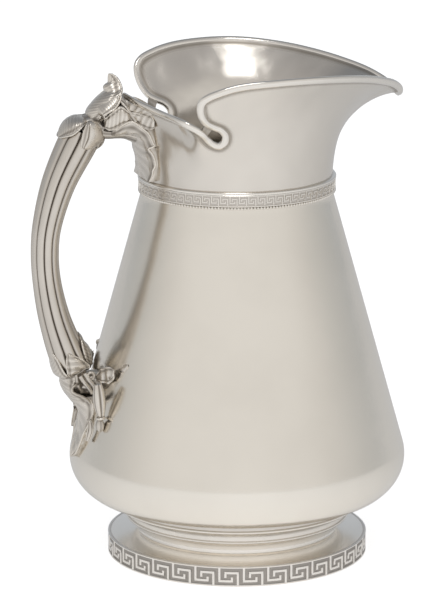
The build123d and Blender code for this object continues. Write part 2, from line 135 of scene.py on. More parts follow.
@dataclass
class Shape:
    """Raw mesh in mm, with how dark each point is painted: shade in recesses, creases, corners, backs and
    insides, and tarnish in the hollows.
    """

    verts: Array
    faces: list[tuple[int, ...]]
    # painted shade and tarnish of each point, from 0 to 1
    shade_and_tarnish: Array | None = None

    def __add__(self, other: "Shape") -> "Shape":
        """Both shapes as one."""
        n = len(self.verts)
        mine = self.shade_and_tarnish if self.shade_and_tarnish is not None else np.zeros(n)
        theirs = other.shade_and_tarnish if other.shade_and_tarnish is not None else np.zeros(len(other.verts))
        return Shape(
            np.vstack([self.verts, other.verts]),
            self.faces + [tuple(i + n for i in f) for f in other.faces],
            np.concatenate([mine, theirs]),
        )

    def mirrored(self) -> "Shape":
        """The same shape on the other side of the handle's plane."""
        return Shape(self.verts * [1, -1, 1], [f[::-1] for f in self.faces], self.shade_and_tarnish)

    def moved(self, turn: Matrix, to: tuple[float, float, float]) -> "Shape":
        """The shape turned, then moved.

        Args:
            turn: 3x3 rotation.
            to: the new place of its origin, mm.

        Returns:
            The moved shape.
        """
        return Shape(self.verts @ np.array(turn).T + np.array(to), self.faces, self.shade_and_tarnish)


def ringed(rings: Array, ends: Array, shade_and_tarnish: Array, end_shade_and_tarnish: float) -> Shape:
    """Bar made of rings, closed at both ends.

    Args:
        rings: grid of points, one row for each ring.
        ends: the middle point of each end.
        shade_and_tarnish: painted shade and tarnish of the points of one ring.
        end_shade_and_tarnish: painted shade and tarnish of the end points.

    Returns:
        The bar.
    """
    rows, cols = rings.shape[:2]
    verts = np.vstack([rings.reshape(-1, 3), ends])
    faces = grid_faces(rows, cols, wrap=True) + end_faces(rows, cols)
    return Shape(verts, faces, np.concatenate([np.tile(shade_and_tarnish, rows), [end_shade_and_tarnish] * 2]))


def ovals(line: Array, x: Array, y: Array, a: Array, b: Array, turn: Array) -> Array:
    """Oval rings across a line.

    Args:
        line: middle of each ring.
        x: first axis of each ring.
        y: second axis of each ring.
        a: half size along x, for each ring and each point of a ring.
        b: half size along y, likewise.
        turn: angle of each point of a ring.

    Returns:
        Grid of points, one row for each ring.
    """
    return (line[:, None, :] + x[:, None, :] * (a * np.cos(turn))[..., None]
            + y[:, None, :] * (b * np.sin(turn))[..., None])


def round_turn(count: int) -> Array:
    """Angles of a full turn, the last one left out."""
    return np.linspace(0, 2 * math.pi, count, endpoint=False)


def lathe(profile: Points | list | Array, segments: int = 192, shade_and_tarnish: list | None = None) -> Shape:
    """Closed outline of (radius, height) turned round the axis.

    Args:
        profile: outline, counter-clockwise, closed by the function.
        segments: steps round the axis.
        shade_and_tarnish: painted shade and tarnish of each outline point.

    Returns:
        The turned shape.
    """
    p = np.array(profile, float)
    n = len(p)
    a = round_turn(segments)
    verts = np.stack([np.outer(np.cos(a), p[:, 0]), np.outer(np.sin(a), p[:, 0]),
                      np.tile(p[:, 1], (segments, 1))], axis=-1).reshape(-1, 3)
    faces = [
        (i * n + j, ((i + 1) % segments) * n + j, ((i + 1) % segments) * n + (j + 1) % n,
         i * n + (j + 1) % n)
        for i in range(segments) for j in range(n)
    ]
    shade = None if shade_and_tarnish is None else np.tile(np.array(shade_and_tarnish, float), segments)
    return Shape(verts, faces, shade)


def arc_points(centre: tuple[float, float], radius: float, start: float, end: float,
               count: int) -> list[tuple[float, float]]:
    """Points of an arc.

    Args:
        centre: centre of the arc.
        radius: its radius.
        start: first angle, degrees.
        end: last angle, degrees.
        count: number of points.

    Returns:
        The points, both ends included.
    """
    angles = np.radians(np.linspace(start, end, count))
    return [(centre[0] + radius * math.cos(a), centre[1] + radius * math.sin(a)) for a in angles]


def facing(front: Array, outward: Array) -> Array:
    """Normals of a grid of points, turned outwards.

    Args:
        front: grid of points.
        outward: rough direction that the front faces.

    Returns:
        The unit normals.
    """
    normal = unit(np.cross(np.gradient(front, axis=0), np.gradient(front, axis=1)))
    return -normal if np.mean(np.sum(normal * outward, axis=-1)) < 0 else normal


def sheet_shape(front: Array, thick: float, outward: Array, dark: Array,
                core: tuple[float, float, float] | None = None) -> Shape:
    """Closed sheet from the points of its front.

    Args:
        front: grid of points, mm.
        thick: its thickness.
        outward: rough direction that the front faces.
        dark: painted shade and tarnish of the grid's points.
        core: way from its edges to a flat back, for a casting that is solid.

    Returns:
        The sheet with its back and its edges.
    """
    rows, cols = front.shape[:2]
    v = np.linspace(-1, 1, cols)
    back = front - facing(front, outward) * (thick * (1 - 0.5 * v ** 2))[None, :, None]
    if core:
        side = (0.5 + 0.5 * v)[None, :, None]
        back = front[:, :1] * (1 - side) + front[:, -1:] * side + np.array(core)
    n = rows * cols
    faces = [f[::-1] for f in grid_faces(rows, cols)] + grid_faces(rows, cols, n)
    loop = ([(0, j) for j in range(cols)] + [(i, cols - 1) for i in range(1, rows)]
            + [(rows - 1, j) for j in range(cols - 2, -1, -1)] + [(i, 0) for i in range(rows - 2, 0, -1)])
    ids = [i * cols + j for i, j in loop]
    faces += [(a, b, b + n, a + n) for a, b in zip(ids, ids[1:] + ids[:1])]
    verts = np.vstack([front.reshape(-1, 3), back.reshape(-1, 3)])
    # the back of the sheet gets painted shade of one half
    return Shape(verts, faces, np.concatenate([np.clip(dark, 0, 1).ravel(), np.full(n, 0.5)]))


def relief(front: Array, height: Array, outward: Array) -> Array:
    """Front of a leaf with its chased relief.

    Args:
        front: grid of points, mm.
        height: how far each point is raised.
        outward: rough direction that the front faces.

    Returns:
        The raised grid.
    """
    return front + facing(front, outward) * height[..., None]


def with_rim(leaf: Shape, edge: Array, radius: Array) -> Shape:
    """The leaf with a bright rolled rim along one edge.

    Args:
        leaf: the leaf.
        edge: points of the edge.
        radius: radius of the rim at each point.

    Returns:
        The leaf and its rim.
    """
    rim = tube(edge, radius, 10)
    return leaf + Shape(rim.verts, rim.faces, np.full(len(rim.verts), 0.02))


@dataclass(frozen=True)
class Arch:
    """Cast leaf bent over the handle's plane: its ridge is seen in outline, its edges lie aside."""

    spine: Points
    edge: Points
    thick: float = 1.5
    rim: float = 0.5
    vein: float = 0.07
    veins: int = 9
    rib: float = 0.25
    dip: float = 0.25
    shade: float = 0.3
    core: tuple[float, float, float] | None = None

    def shape(self, rows: int = 60, cols: int = 41) -> Shape:
        """Mesh of the leaf with a rolled rim on both edges.

        Args:
            rows: points along the ridge.
            cols: points across.

        Returns:
            The closed leaf.
        """
        s = through([(x, 0.0, z) for x, z in self.spine], rows)
        e = through(self.edge, rows)
        v = np.linspace(-1, 1, cols)
        a = v * math.pi / 2
        drop = 1 - np.cos(a)
        front = s[:, None, :] + (e - s)[:, None, :] * drop[None, :, None] * [1, 0, 1]
        front[..., 1] = -e[:, 1][:, None] * np.sin(a)[None, :]
        outward = unit((s - e) * [1, 0, 1])[:, None, :] * np.cos(a)[None, :, None]
        outward = outward + np.array([0, 1, 0]) * np.sin(a)[None, :, None]
        u = np.linspace(0, 1, rows)[:, None]
        taper = np.clip(np.sin(np.pi * np.clip(u * 0.96 + 0.02, 0, 1)) * 2.2, 0.15, 1)
        line = np.cos(2 * np.pi * self.veins * (u - 0.22 * np.abs(v)[None, :]))
        rib = np.exp(-(v / 0.07) ** 2)[None, :]
        gutter = np.exp(-((np.abs(v) - 0.8) / 0.09) ** 2)[None, :]
        height = taper * (self.vein * line * (1 - rib) + self.rib * rib - self.dip * gutter)
        front = relief(front, height, outward)
        # painted shade and tarnish: darker between the veins, much darker in the groove inside each rim and
        # at the leaf's foot, where it meets the next part
        dark = self.shade * (0.4 - 0.35 * line) * (1 - rib) + 0.75 * gutter + 0.5 * (u < 0.05)
        shape = sheet_shape(front, self.thick, outward, dark, self.core)
        for k in (0, -1):
            shape = with_rim(shape, front[:, k], self.rim * taper[:, 0])
        return shape


@dataclass(frozen=True)
class Petal:
    """Cast leaf on one side of the handle, stretched between its two edges."""

    a: Points
    b: Points
    bulge: float = 1.2
    out: tuple[float, float, float] = (-0.25, -1.0, 0.1)
    thick: float = 1.6
    rim_a: float = 0.0
    rim_b: float = 0.4
    folds: float = 0.0
    fold: float = 0.2
    crease: float = -1.0
    lobes: int = 0
    lobe: float = 0.1
    shade: float = 0.35

    def shape(self, rows: int = 48, cols: int = 33) -> Shape:
        """Mesh of the leaf with its rolled rims.

        Args:
            rows: points along it.
            cols: points across.

        Returns:
            The closed leaf.
        """
        a, b = through(self.a, rows), through(self.b, rows)
        u, v = np.linspace(0, 1, rows)[:, None], np.linspace(0, 1, cols)[None, :]
        if self.lobes:
            a = a + (a - b) * self.lobe * (np.abs(np.sin(np.pi * self.lobes * u)) - 0.5)
        out = unit(np.array(self.out))
        taper = np.clip(np.sin(np.pi * u), 0, 1) ** 0.6
        hump = (4 * v * (1 - v)) ** 0.75 * taper
        front = a[:, None, :] * (1 - v[..., None]) + b[:, None, :] * v[..., None]
        front = front + out * (self.bulge * hump)[..., None]
        wave = np.cos(2 * np.pi * self.folds * (u + 0.12 * v)) if self.folds else 0 * (u + v)
        gutter = np.exp(-((v - 0.88) / 0.06) ** 2) * (self.rim_b > 0)
        gutter = gutter + np.exp(-((v - 0.12) / 0.06) ** 2) * (self.rim_a > 0)
        cut = np.exp(-((v - self.crease) / 0.035) ** 2) * taper
        front = relief(front, self.fold * wave * taper - 0.2 * gutter * taper - 0.5 * cut, out)
        # painted shade and tarnish: darker in the troughs of the folds, in the groove inside each rim, in the
        # crease and at the leaf's foot
        dark = self.shade * (0.4 - 0.6 * wave * (self.folds > 0)) + 0.7 * gutter + 0.95 * cut
        dark = dark + 0.5 * (u < 0.06)
        shape = sheet_shape(front, self.thick, out, dark)
        for line, radius in ((front[:, 0], self.rim_a), (front[:, -1], self.rim_b)):
            if radius:
                shape = with_rim(shape, line, radius * (0.35 + 0.65 * taper[:, 0]))
        return shape


@dataclass(frozen=True)
class Bar:
    """Cast bar of oval sections, with flutes along it."""

    spine: Points
    sizes: Points
    flutes: int
    depth: float

    def shape(self, rows: int = 40, cols: int = 48) -> Shape:
        """Mesh of the bar, closed at both ends.

        Args:
            rows: sections.
            cols: points round a section.

        Returns:
            The bar.
        """
        data = through([tuple(p) + tuple(s) for p, s in zip(self.spine, self.sizes)], rows)
        p, a, b = data[:, :3], data[:, 3], data[:, 4]
        t = unit(np.gradient(p, axis=0))
        x = unit(np.cross(ACROSS, t))
        y = np.cross(t, x)
        q = round_turn(cols)
        groove = 0.5 + 0.5 * np.cos(self.flutes * q)
        k = 1 - self.depth * groove ** 3
        rings = ovals(p, x, y, a[:, None] * k, b[:, None] * k, q)
        ends = [p[0] - t[0] * 0.25 * a[0], p[-1] + t[-1] * 0.25 * a[-1]]
        # painted shade and tarnish: darker in the flutes and at the ends
        return ringed(rings, np.array(ends), 0.25 + 0.6 * groove ** 2, 0.4)


def tube(path: Array, radius: Array | float, sides: int = 14) -> Shape:
    """Round wire along a path, closed at both ends.

    Args:
        path: centre line, mm.
        radius: radius, or one for each point.
        sides: points round the wire.

    Returns:
        The wire.
    """
    path = np.array(path, float)
    radii = np.broadcast_to(np.array(radius, float), (len(path),))
    t = unit(np.gradient(path, axis=0))
    x = unit(np.cross(t[0], [0.3, 0.2, 1.0]))
    q = round_turn(sides)
    rings = []
    for p, d, r in zip(path, t, radii):
        x = unit(x - d * np.dot(x, d))
        y = np.cross(d, x)
        rings.append(p + r * (np.outer(np.cos(q), x) + np.outer(np.sin(q), y)))
    return ringed(np.array(rings), path[[0, -1]], np.full(sides, 0.25), 0.25)


def scroll(centre: tuple[float, float, float], size: float, wire: float, turns: float = 1.3,
           start: float = 0.0) -> Shape:
    """Small scroll of tapering wire that lies in a plane across Y.

    Args:
        centre: its middle, mm.
        size: outer radius.
        wire: radius of the wire at its outer end.
        turns: number of turns.
        start: angle of the outer end, degrees.

    Returns:
        The scroll.
    """
    q = np.linspace(0, 1, int(40 * turns))
    angle = np.radians(start) + q * turns * 2 * math.pi
    r = (size - wire) * (1 - 0.72 * q)
    path = np.stack([centre[0] + r * np.cos(angle), centre[1] - 1.08 * wire * q,
                     centre[2] + r * np.sin(angle)], axis=1)
    return tube(path, wire * (1 - 0.45 * q), 12)


def ball(centre: tuple[float, float, float], radii: tuple[float, float, float], petals: int = 0,
         rows: int = 18, cols: int = 32, shade: float = 0.2) -> Shape:
    """Egg-shaped bud or bead, with furrows between petals.

    Args:
        centre: its middle, mm.
        radii: half sizes along x, y and z.
        petals: number of furrows.
        rows: rings of points between the poles.
        cols: points of a ring.
        shade: painted shade and tarnish outside the furrows.

    Returns:
        The bud.
    """
    lat = np.linspace(0, math.pi, rows + 2)[1:-1]
    lon = round_turn(cols)
    furrow = (0.5 + 0.5 * np.cos(petals * lon)) ** 4 * 0.14 if petals else np.zeros(cols)
    r = np.sin(lat)[:, None] * (1 - furrow)[None, :]
    rings = np.stack([r * np.cos(lon), r * np.sin(lon), np.repeat(np.cos(lat)[:, None], cols, 1)], -1)
    # painted shade and tarnish, darker in the furrows
    bud = ringed(rings, np.array([[0, 0, 1], [0, 0, -1]]), np.clip(shade + 4.0 * furrow, 0, 1), shade)
    return Shape(bud.verts * radii + centre, [f[::-1] for f in bud.faces], bud.shade_and_tarnish)


# Finishes


def socket(tree: bpy.types.NodeTree, name: str, way: str, kind: str, value: float | None = None) -> str:
    """Adds a named socket to a node group.

    Args:
        tree: the group.
        name: the socket's name.
        way: INPUT or OUTPUT.
        kind: socket type.
        value: default value.

    Returns:
        The socket's identifier.
    """
    item = tree.interface.new_socket(name=name, in_out=way, socket_type=kind)
    if value is not None:
        item.default_value = value
    return item.identifier


def planished_group() -> bpy.types.NodeTree:
    """Node group for the faint dents of hand-hammered sheet and fine polishing marks.

    Returns:
        Group with inputs Dents, Size, Marks and the output Height.
    """
    g = bpy.data.node_groups.new("planished", "ShaderNodeTree")
    socket(g, "Dents", "INPUT", "NodeSocketFloat", 1.0)
    socket(g, "Size", "INPUT", "NodeSocketFloat", 60.0)
    socket(g, "Marks", "INPUT", "NodeSocketFloat", 0.1)
    socket(g, "Height", "OUTPUT", "NodeSocketFloat")
    n, l = g.nodes, g.links
    i, o = n.new("NodeGroupInput"), n.new("NodeGroupOutput")
    c = n.new("ShaderNodeTexCoord")
    dents = n.new("ShaderNodeTexNoise")
    dents.inputs["Detail"].default_value = 1.5
    marks = n.new("ShaderNodeTexNoise")
    marks.inputs["Scale"].default_value = 1800.0
    stretch = n.new("ShaderNodeMapping")
    stretch.inputs["Scale"].default_value = (1.0, 1.0, 0.12)
    a, b, s = (n.new("ShaderNodeMath") for _ in range(3))
    a.operation = b.operation = "MULTIPLY"
    l.new(c.outputs["Object"], dents.inputs["Vector"])
    l.new(i.outputs["Size"], dents.inputs["Scale"])
    l.new(c.outputs["Object"], stretch.inputs["Vector"])
    l.new(stretch.outputs[0], marks.inputs["Vector"])
    l.new(dents.outputs["Fac"], a.inputs[0])
    l.new(i.outputs["Dents"], a.inputs[1])
    l.new(marks.outputs["Fac"], b.inputs[0])
    l.new(i.outputs["Marks"], b.inputs[1])
    l.new(a.outputs[0], s.inputs[0])
    l.new(b.outputs[0], s.inputs[1])
    l.new(s.outputs[0], o.inputs["Height"])
    return g


def tarnish_and_shade_group() -> bpy.types.NodeTree:
    """Node group that darkens the metal by the points' painted shade and tarnish, and with tarnish in soft
    clouds on the open metal.

    Returns:
        Group with inputs Clean, Dark, Shade and tarnish, Clouds, Rough and outputs Color, Roughness.
    """
    g = bpy.data.node_groups.new("tarnish_and_shade", "ShaderNodeTree")
    socket(g, "Clean", "INPUT", "NodeSocketColor")
    socket(g, "Dark", "INPUT", "NodeSocketColor")
    socket(g, "Shade and tarnish", "INPUT", "NodeSocketFloat", 1.0)
    socket(g, "Clouds", "INPUT", "NodeSocketFloat", 0.1)
    socket(g, "Rough", "INPUT", "NodeSocketFloat", 0.2)
    socket(g, "Color", "OUTPUT", "NodeSocketColor")
    socket(g, "Roughness", "OUTPUT", "NodeSocketFloat")
    n, l = g.nodes, g.links
    i, o = n.new("NodeGroupInput"), n.new("NodeGroupOutput")
    # the point attribute of painted shade and tarnish
    att = n.new("ShaderNodeAttribute")
    att.attribute_name = "shade_and_tarnish"
    c = n.new("ShaderNodeTexCoord")
    cloud = n.new("ShaderNodeTexNoise")
    cloud.inputs["Scale"].default_value = 22.0
    cloud.inputs["Detail"].default_value = 4.0
    soft = n.new("ShaderNodeMapRange")
    soft.inputs["From Min"].default_value, soft.inputs["From Max"].default_value = 0.45, 0.75
    m1, m2, add = (n.new("ShaderNodeMath") for _ in range(3))
    m1.operation = m2.operation = "MULTIPLY"
    add.use_clamp = True
    mix = n.new("ShaderNodeMix")
    mix.data_type = "RGBA"
    rough = n.new("ShaderNodeMath")
    rough.operation = "MULTIPLY_ADD"
    rough.inputs[1].default_value = 0.35
    l.new(c.outputs["Object"], cloud.inputs["Vector"])
    l.new(cloud.outputs["Fac"], soft.inputs["Value"])
    l.new(att.outputs["Fac"], m1.inputs[0])
    l.new(i.outputs["Shade and tarnish"], m1.inputs[1])
    l.new(soft.outputs[0], m2.inputs[0])
    l.new(i.outputs["Clouds"], m2.inputs[1])
    l.new(m1.outputs[0], add.inputs[0])
    l.new(m2.outputs[0], add.inputs[1])
    l.new(add.outputs[0], mix.inputs[0])
    l.new(i.outputs["Clean"], mix.inputs[COLOR_A])
    l.new(i.outputs["Dark"], mix.inputs[COLOR_B])
    l.new(mix.outputs[COLOR_OUT], o.inputs["Color"])
    l.new(add.outputs[0], rough.inputs[0])
    l.new(i.outputs["Rough"], rough.inputs[2])
    l.new(rough.outputs[0], o.inputs["Roughness"])
    return g


@dataclass(frozen=True)
class SilverFinish:
    """Polished silver: clean colour, tarnish and painted shade, roughness and surface relief."""

    name: str
    clean: tuple[float, float, float] = (0.83, 0.79, 0.73)
    dark: tuple[float, float, float] = (0.20, 0.165, 0.125)
    rough: float = 0.16
    # strength of the painted shade and tarnish that each point carries
    shade_and_tarnish: float = 0.8
    clouds: float = 0.06
    dents: float = 0.6
    size: float = 70.0
    marks: float = 0.03
    bump: float = 0.6

    def material(self) -> bpy.types.Material:
        """The finish as a material, built once."""
        mat = bpy.data.materials.get(self.name)
        if mat:
            return mat
        mat = bpy.data.materials.new(self.name)
        mat.use_nodes = True
        n, l = mat.node_tree.nodes, mat.node_tree.links
        bsdf = n["Principled BSDF"]
        bsdf.inputs["Metallic"].default_value = 1.0
        stain_and_shade = n.new("ShaderNodeGroup")
        stain_and_shade.node_tree = bpy.data.node_groups.get("tarnish_and_shade") or tarnish_and_shade_group()
        stain_and_shade.inputs["Clean"].default_value = (*self.clean, 1)
        stain_and_shade.inputs["Dark"].default_value = (*self.dark, 1)
        stain_and_shade.inputs["Shade and tarnish"].default_value = self.shade_and_tarnish
        stain_and_shade.inputs["Clouds"].default_value = self.clouds
        stain_and_shade.inputs["Rough"].default_value = self.rough
        l.new(stain_and_shade.outputs["Color"], bsdf.inputs["Base Color"])
        l.new(stain_and_shade.outputs["Roughness"], bsdf.inputs["Roughness"])
        dented = n.new("ShaderNodeGroup")
        dented.node_tree = bpy.data.node_groups.get("planished") or planished_group()
        dented.inputs["Dents"].default_value = self.dents
        dented.inputs["Size"].default_value = self.size
        dented.inputs["Marks"].default_value = self.marks
        bump = n.new("ShaderNodeBump")
        bump.inputs["Strength"].default_value = self.bump
        bump.inputs["Distance"].default_value = 0.001
        l.new(dented.outputs["Height"], bump.inputs["Height"])
        l.new(bump.outputs["Normal"], bsdf.inputs["Normal"])
        return mat


# One silver, its clean colour set part by part as painted light and shade: lightest on the foot, for the
# bright floor that its ledge and coves reflect, and darker on the neck, the castings and the grip.
BODY_FINISH = SilverFinish("planished sheet", clean=(0.93, 0.885, 0.805), dents=0.35, size=45.0)
NECK_FINISH = SilverFinish("raised neck sheet", clean=(0.80, 0.755, 0.69), dents=1.6, size=55.0, clouds=0.12)
FOOT_FINISH = SilverFinish("foot sheet", clean=(0.96, 0.92, 0.86), rough=0.2, clouds=0.08, dents=0.15)
WIRE_FINISH = SilverFinish("bright wire", clean=(0.86, 0.82, 0.76), rough=0.16, shade_and_tarnish=0.5, dents=0.1)
BAND_FINISH = SilverFinish("rolled key strip", clean=(0.86, 0.83, 0.79), dark=(0.36, 0.335, 0.31), rough=0.24,
                           shade_and_tarnish=0.9, dents=0.05)
COLLAR_FINISH = SilverFinish("worn key strip", clean=(0.84, 0.80, 0.74), dark=(0.40, 0.36, 0.32), rough=0.24,
                             shade_and_tarnish=0.75, dents=0.05)
CAST_FINISH = SilverFinish("chased casting", clean=(0.80, 0.75, 0.68), dark=(0.20, 0.17, 0.14), rough=0.24,
                           shade_and_tarnish=0.8, clouds=0.15, dents=0.25, size=300.0)
GRIP_FINISH = SilverFinish("reeded grip", clean=(0.76, 0.71, 0.645), dark=(0.22, 0.19, 0.16), rough=0.24,
                           shade_and_tarnish=0.8, clouds=0.2, dents=0.2, size=120.0)


def cleaned(obj: bpy.types.Object, merge: bool) -> None:
    """Turns all faces of a closed mesh outwards.

    Args:
        obj: the object.
        merge: first merge doubled points and drop faces without area.
    """
    bm = bmesh.new()
    bm.from_mesh(obj.data)
    if merge:
        bmesh.ops.remove_doubles(bm, verts=bm.verts, dist=1e-6)
        bmesh.ops.dissolve_degenerate(bm, edges=bm.edges, dist=1e-7)
    bmesh.ops.recalc_face_normals(bm, faces=bm.faces)
    bm.to_mesh(obj.data)
    bm.free()


def loose(name: str, shape: Shape) -> bpy.types.Object:
    """Object with a shape as its mesh, not yet seated.

    Args:
        name: its name.
        shape: its mesh in mm.

    Returns:
        The object.
    """
    mesh = bpy.data.meshes.new(name)
    mesh.from_pydata((shape.verts * MM).tolist(), [], shape.faces)
    # each point's painted shade and tarnish becomes a point attribute that the finish reads
    if shape.shade_and_tarnish is not None:
        att = mesh.attributes.new("shade_and_tarnish", "FLOAT", "POINT")
        att.data.foreach_set("value", shape.shade_and_tarnish.astype(np.float32))
    obj = bpy.data.objects.new(name, mesh)
    bpy.context.scene.collection.objects.link(obj)
    return obj


def piece(name: str, shape: Shape, finish: SilverFinish, slot: Slot, *nodes: str,
          flat: float = 40.0) -> bpy.types.Object:
    """Makes a finished piece and seats it in the frame.

    Args:
        name: name of the piece.
        shape: its mesh in mm.
        finish: its finish.
        slot: passed on to seat, which does not use it.
        nodes: solids it stands for.
        flat: edges sharper than this many degrees stay sharp.

    Returns:
        The object.
    """
    return seat(loose(name, shape), finish, slot, *nodes, flat=flat)


def seat(obj: bpy.types.Object, finish: SilverFinish, slot: Slot, *nodes: str,
         flat: float = 40.0) -> bpy.types.Object:
    """Cleans a mesh, gives it its finish and seats it in the frame.

    Args:
        obj: the object, at the origin.
        finish: its finish.
        slot: not used.
        nodes: solids it stands for.
        flat: edges sharper than this many degrees stay sharp.

    Returns:
        The object.
    """
    cleaned(obj, merge=True)
    obj.data.materials.clear()
    obj.data.materials.append(finish.material())
    obj.data.shade_smooth()
    obj.data.set_sharp_from_angle(angle=math.radians(flat))
    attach(obj, "root")
    if nodes:
        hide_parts(*nodes)
    log.info("%s: %d faces", obj.name, len(obj.data.polygons))
    return obj


# Geometry Nodes


def ring_tree() -> bpy.types.NodeTree:
    """Geometry Nodes that set copies of a unit round the axis.

    Returns:
        Tree with inputs Count, Start, Unit and Finish.
    """
    g = bpy.data.node_groups.new("units round the axis", "GeometryNodeTree")
    socket(g, "Geometry", "INPUT", "NodeSocketGeometry")
    socket(g, "Count", "INPUT", "NodeSocketInt", 12)
    socket(g, "Start", "INPUT", "NodeSocketFloat", 0.0)
    socket(g, "Finish", "INPUT", "NodeSocketMaterial")
    socket(g, "Geometry", "OUTPUT", "NodeSocketGeometry")
    n, l = g.nodes, g.links
    i, o = n.new("NodeGroupInput"), n.new("NodeGroupOutput")
    points = n.new("GeometryNodeMeshLine")
    points.inputs["Offset"].default_value = (0, 0, 0)
    index = n.new("GeometryNodeInputIndex")
    step = n.new("ShaderNodeMath")
    step.operation = "DIVIDE"
    step.inputs[0].default_value = 2 * math.pi
    angle = n.new("ShaderNodeMath")
    angle.operation = "MULTIPLY_ADD"
    turn = n.new("ShaderNodeCombineXYZ")
    place = n.new("GeometryNodeInstanceOnPoints")
    real = n.new("GeometryNodeRealizeInstances")
    finish = n.new("GeometryNodeSetMaterial")
    l.new(i.outputs["Count"], points.inputs["Count"])
    l.new(i.outputs["Count"], step.inputs[1])
    l.new(index.outputs[0], angle.inputs[0])
    l.new(step.outputs[0], angle.inputs[1])
    l.new(i.outputs["Start"], angle.inputs[2])
    l.new(angle.outputs[0], turn.inputs[2])
    l.new(points.outputs[0], place.inputs["Points"])
    l.new(i.outputs["Geometry"], place.inputs["Instance"])
    l.new(turn.outputs[0], place.inputs["Rotation"])
    l.new(place.outputs[0], real.inputs[0])
    l.new(real.outputs[0], finish.inputs["Geometry"])
    l.new(i.outputs["Finish"], finish.inputs["Material"])
    l.new(finish.outputs[0], o.inputs[0])
    return g


def grown(base: bpy.types.Object, tree: bpy.types.NodeTree, values: dict[str, object]) -> bpy.types.Object:
    """Runs a Geometry Nodes tree on an object and keeps the result as its plain mesh.

    Args:
        base: the object that carries the tree for the moment.
        tree: the tree.
        values: its inputs by name.

    Returns:
        The same object with the result as its mesh.
    """
    mod = base.modifiers.new("tree", "NODES")
    mod.node_group = tree
    for item in tree.interface.items_tree:
        if item.item_type == "SOCKET" and item.in_out == "INPUT" and item.name in values:
            mod[item.identifier] = values[item.name]
    return baked(base)


def baked(obj: bpy.types.Object) -> bpy.types.Object:
    """Keeps what an object's modifiers make as its plain mesh.

    Args:
        obj: the object.

    Returns:
        The same object without modifiers.
    """
    bpy.context.view_layer.update()
    graph = bpy.context.evaluated_depsgraph_get()
    mesh = bpy.data.meshes.new_from_object(obj.evaluated_get(graph))
    obj.modifiers.clear()
    old, obj.data = obj.data, mesh
    bpy.data.meshes.remove(old)
    return obj


def round_axis(name: str, shape: Shape, count: int, start: float,
               finish: SilverFinish) -> bpy.types.Object:
    """Copies of a unit set round the axis.

    Args:
        name: name of the result.
        shape: the unit.
        count: number of copies.
        start: angle of the first copy, degrees.
        finish: finish of the result.

    Returns:
        The object.
    """
    tree = bpy.data.node_groups.get("units round the axis") or ring_tree()
    return grown(loose(name, shape), tree, {
        "Count": count, "Start": math.radians(start), "Finish": finish.material()})


# The key pattern


UNIT_WIDTH, UNIT_HEIGHT = 11.09, 9.4      # the unit that the two hooks below are drawn in
HOOKS = (((0, 8.9), (0, 2.7), (5.7, 2.7), (5.7, 4.05)),
         ((8.35, 0.6), (8.35, 6.55), (2.75, 6.55), (2.75, 4.75)))


@dataclass(frozen=True)
class KeyPattern:
    """One unit of the interlocked key: two hooks of raised line on a dark ground."""

    radius: float
    low: float
    high: float
    count: int
    line: float
    raised: float
    border: float

    def unit(self) -> Shape:
        """Raised line of one unit, bent to the band's radius.

        Returns:
            The two hooks.
        """
        pitch = 2 * math.pi * self.radius / self.count
        sx, sz = pitch / UNIT_WIDTH, (self.high - self.low) / UNIT_HEIGHT
        shape: Shape | None = None
        for hook in HOOKS:
            pts = [(x * sx, self.low + z * sz) for x, z in hook]
            for (x0, z0), (x1, z1) in zip(pts, pts[1:]):
                h = self.line / 2
                upright = abs(z1 - z0) > abs(x1 - x0)
                hx = h if upright else h
                lo = (min(x0, x1) - hx, min(z0, z1) - h)
                hi = (max(x0, x1) + hx, max(z0, z1) + h)
                bar = self.block(lo, (hi[0], min(hi[1], self.high - 0.2 * self.border)))
                shape = bar if shape is None else shape + bar
        return shape

    def block(self, lo: tuple[float, float], hi: tuple[float, float]) -> Shape:
        """Raised bar with sloping sides between two corners of the unrolled band.

        Args:
            lo: lower corner, along the band and up.
            hi: upper corner.

        Returns:
            The bar.
        """
        steps = max(1, int(round((hi[0] - lo[0]) / 1.5)))
        s = 0.12 * self.line
        xs = np.linspace(lo[0], hi[0], steps + 1)
        rows = []
        for k, x in enumerate(xs):
            inset = s if k == 0 else (-s if k == steps else 0)
            rows.append([(x, lo[1], 0), (x + inset, lo[1] + s, 1), (x + inset, hi[1] - s, 1), (x, hi[1], 0)])
        verts = []
        for row in rows:
            for x, z, up in row:
                r = self.radius - 0.05 + up * (self.raised + 0.05)
                a = x / self.radius
                verts.append((r * math.cos(a), r * math.sin(a), z))
        faces = [(i * 4 + j, (i + 1) * 4 + j, (i + 1) * 4 + j + 1, i * 4 + j + 1)
                 for i in range(steps) for j in range(3)]
        last = steps * 4
        faces += [(0, 1, 2, 3), (last + 3, last + 2, last + 1, last)]
        faces += [(i * 4 + 3, (i + 1) * 4 + 3, (i + 1) * 4, i * 4) for i in range(steps)]
        # painted shade and tarnish along the foot of each raised bar
        shade_and_tarnish = np.tile([0.5, 0.0, 0.0, 0.5], len(rows))
        return Shape(np.array(verts), faces, shade_and_tarnish)

    def dress(self, name: str, start: float, finish: SilverFinish, slot: Slot) -> bpy.types.Object:
        """The pattern all round the band.

        Args:
            name: name of the piece.
            start: angle of the first hook, degrees.
            finish: its finish.
            slot: passed on to seat, which does not use it.

        Returns:
            The object.
        """
        obj = round_axis(name, self.unit(), self.count, start, finish)
        return seat(obj, finish, slot, flat=30)


# Sub-assemblies


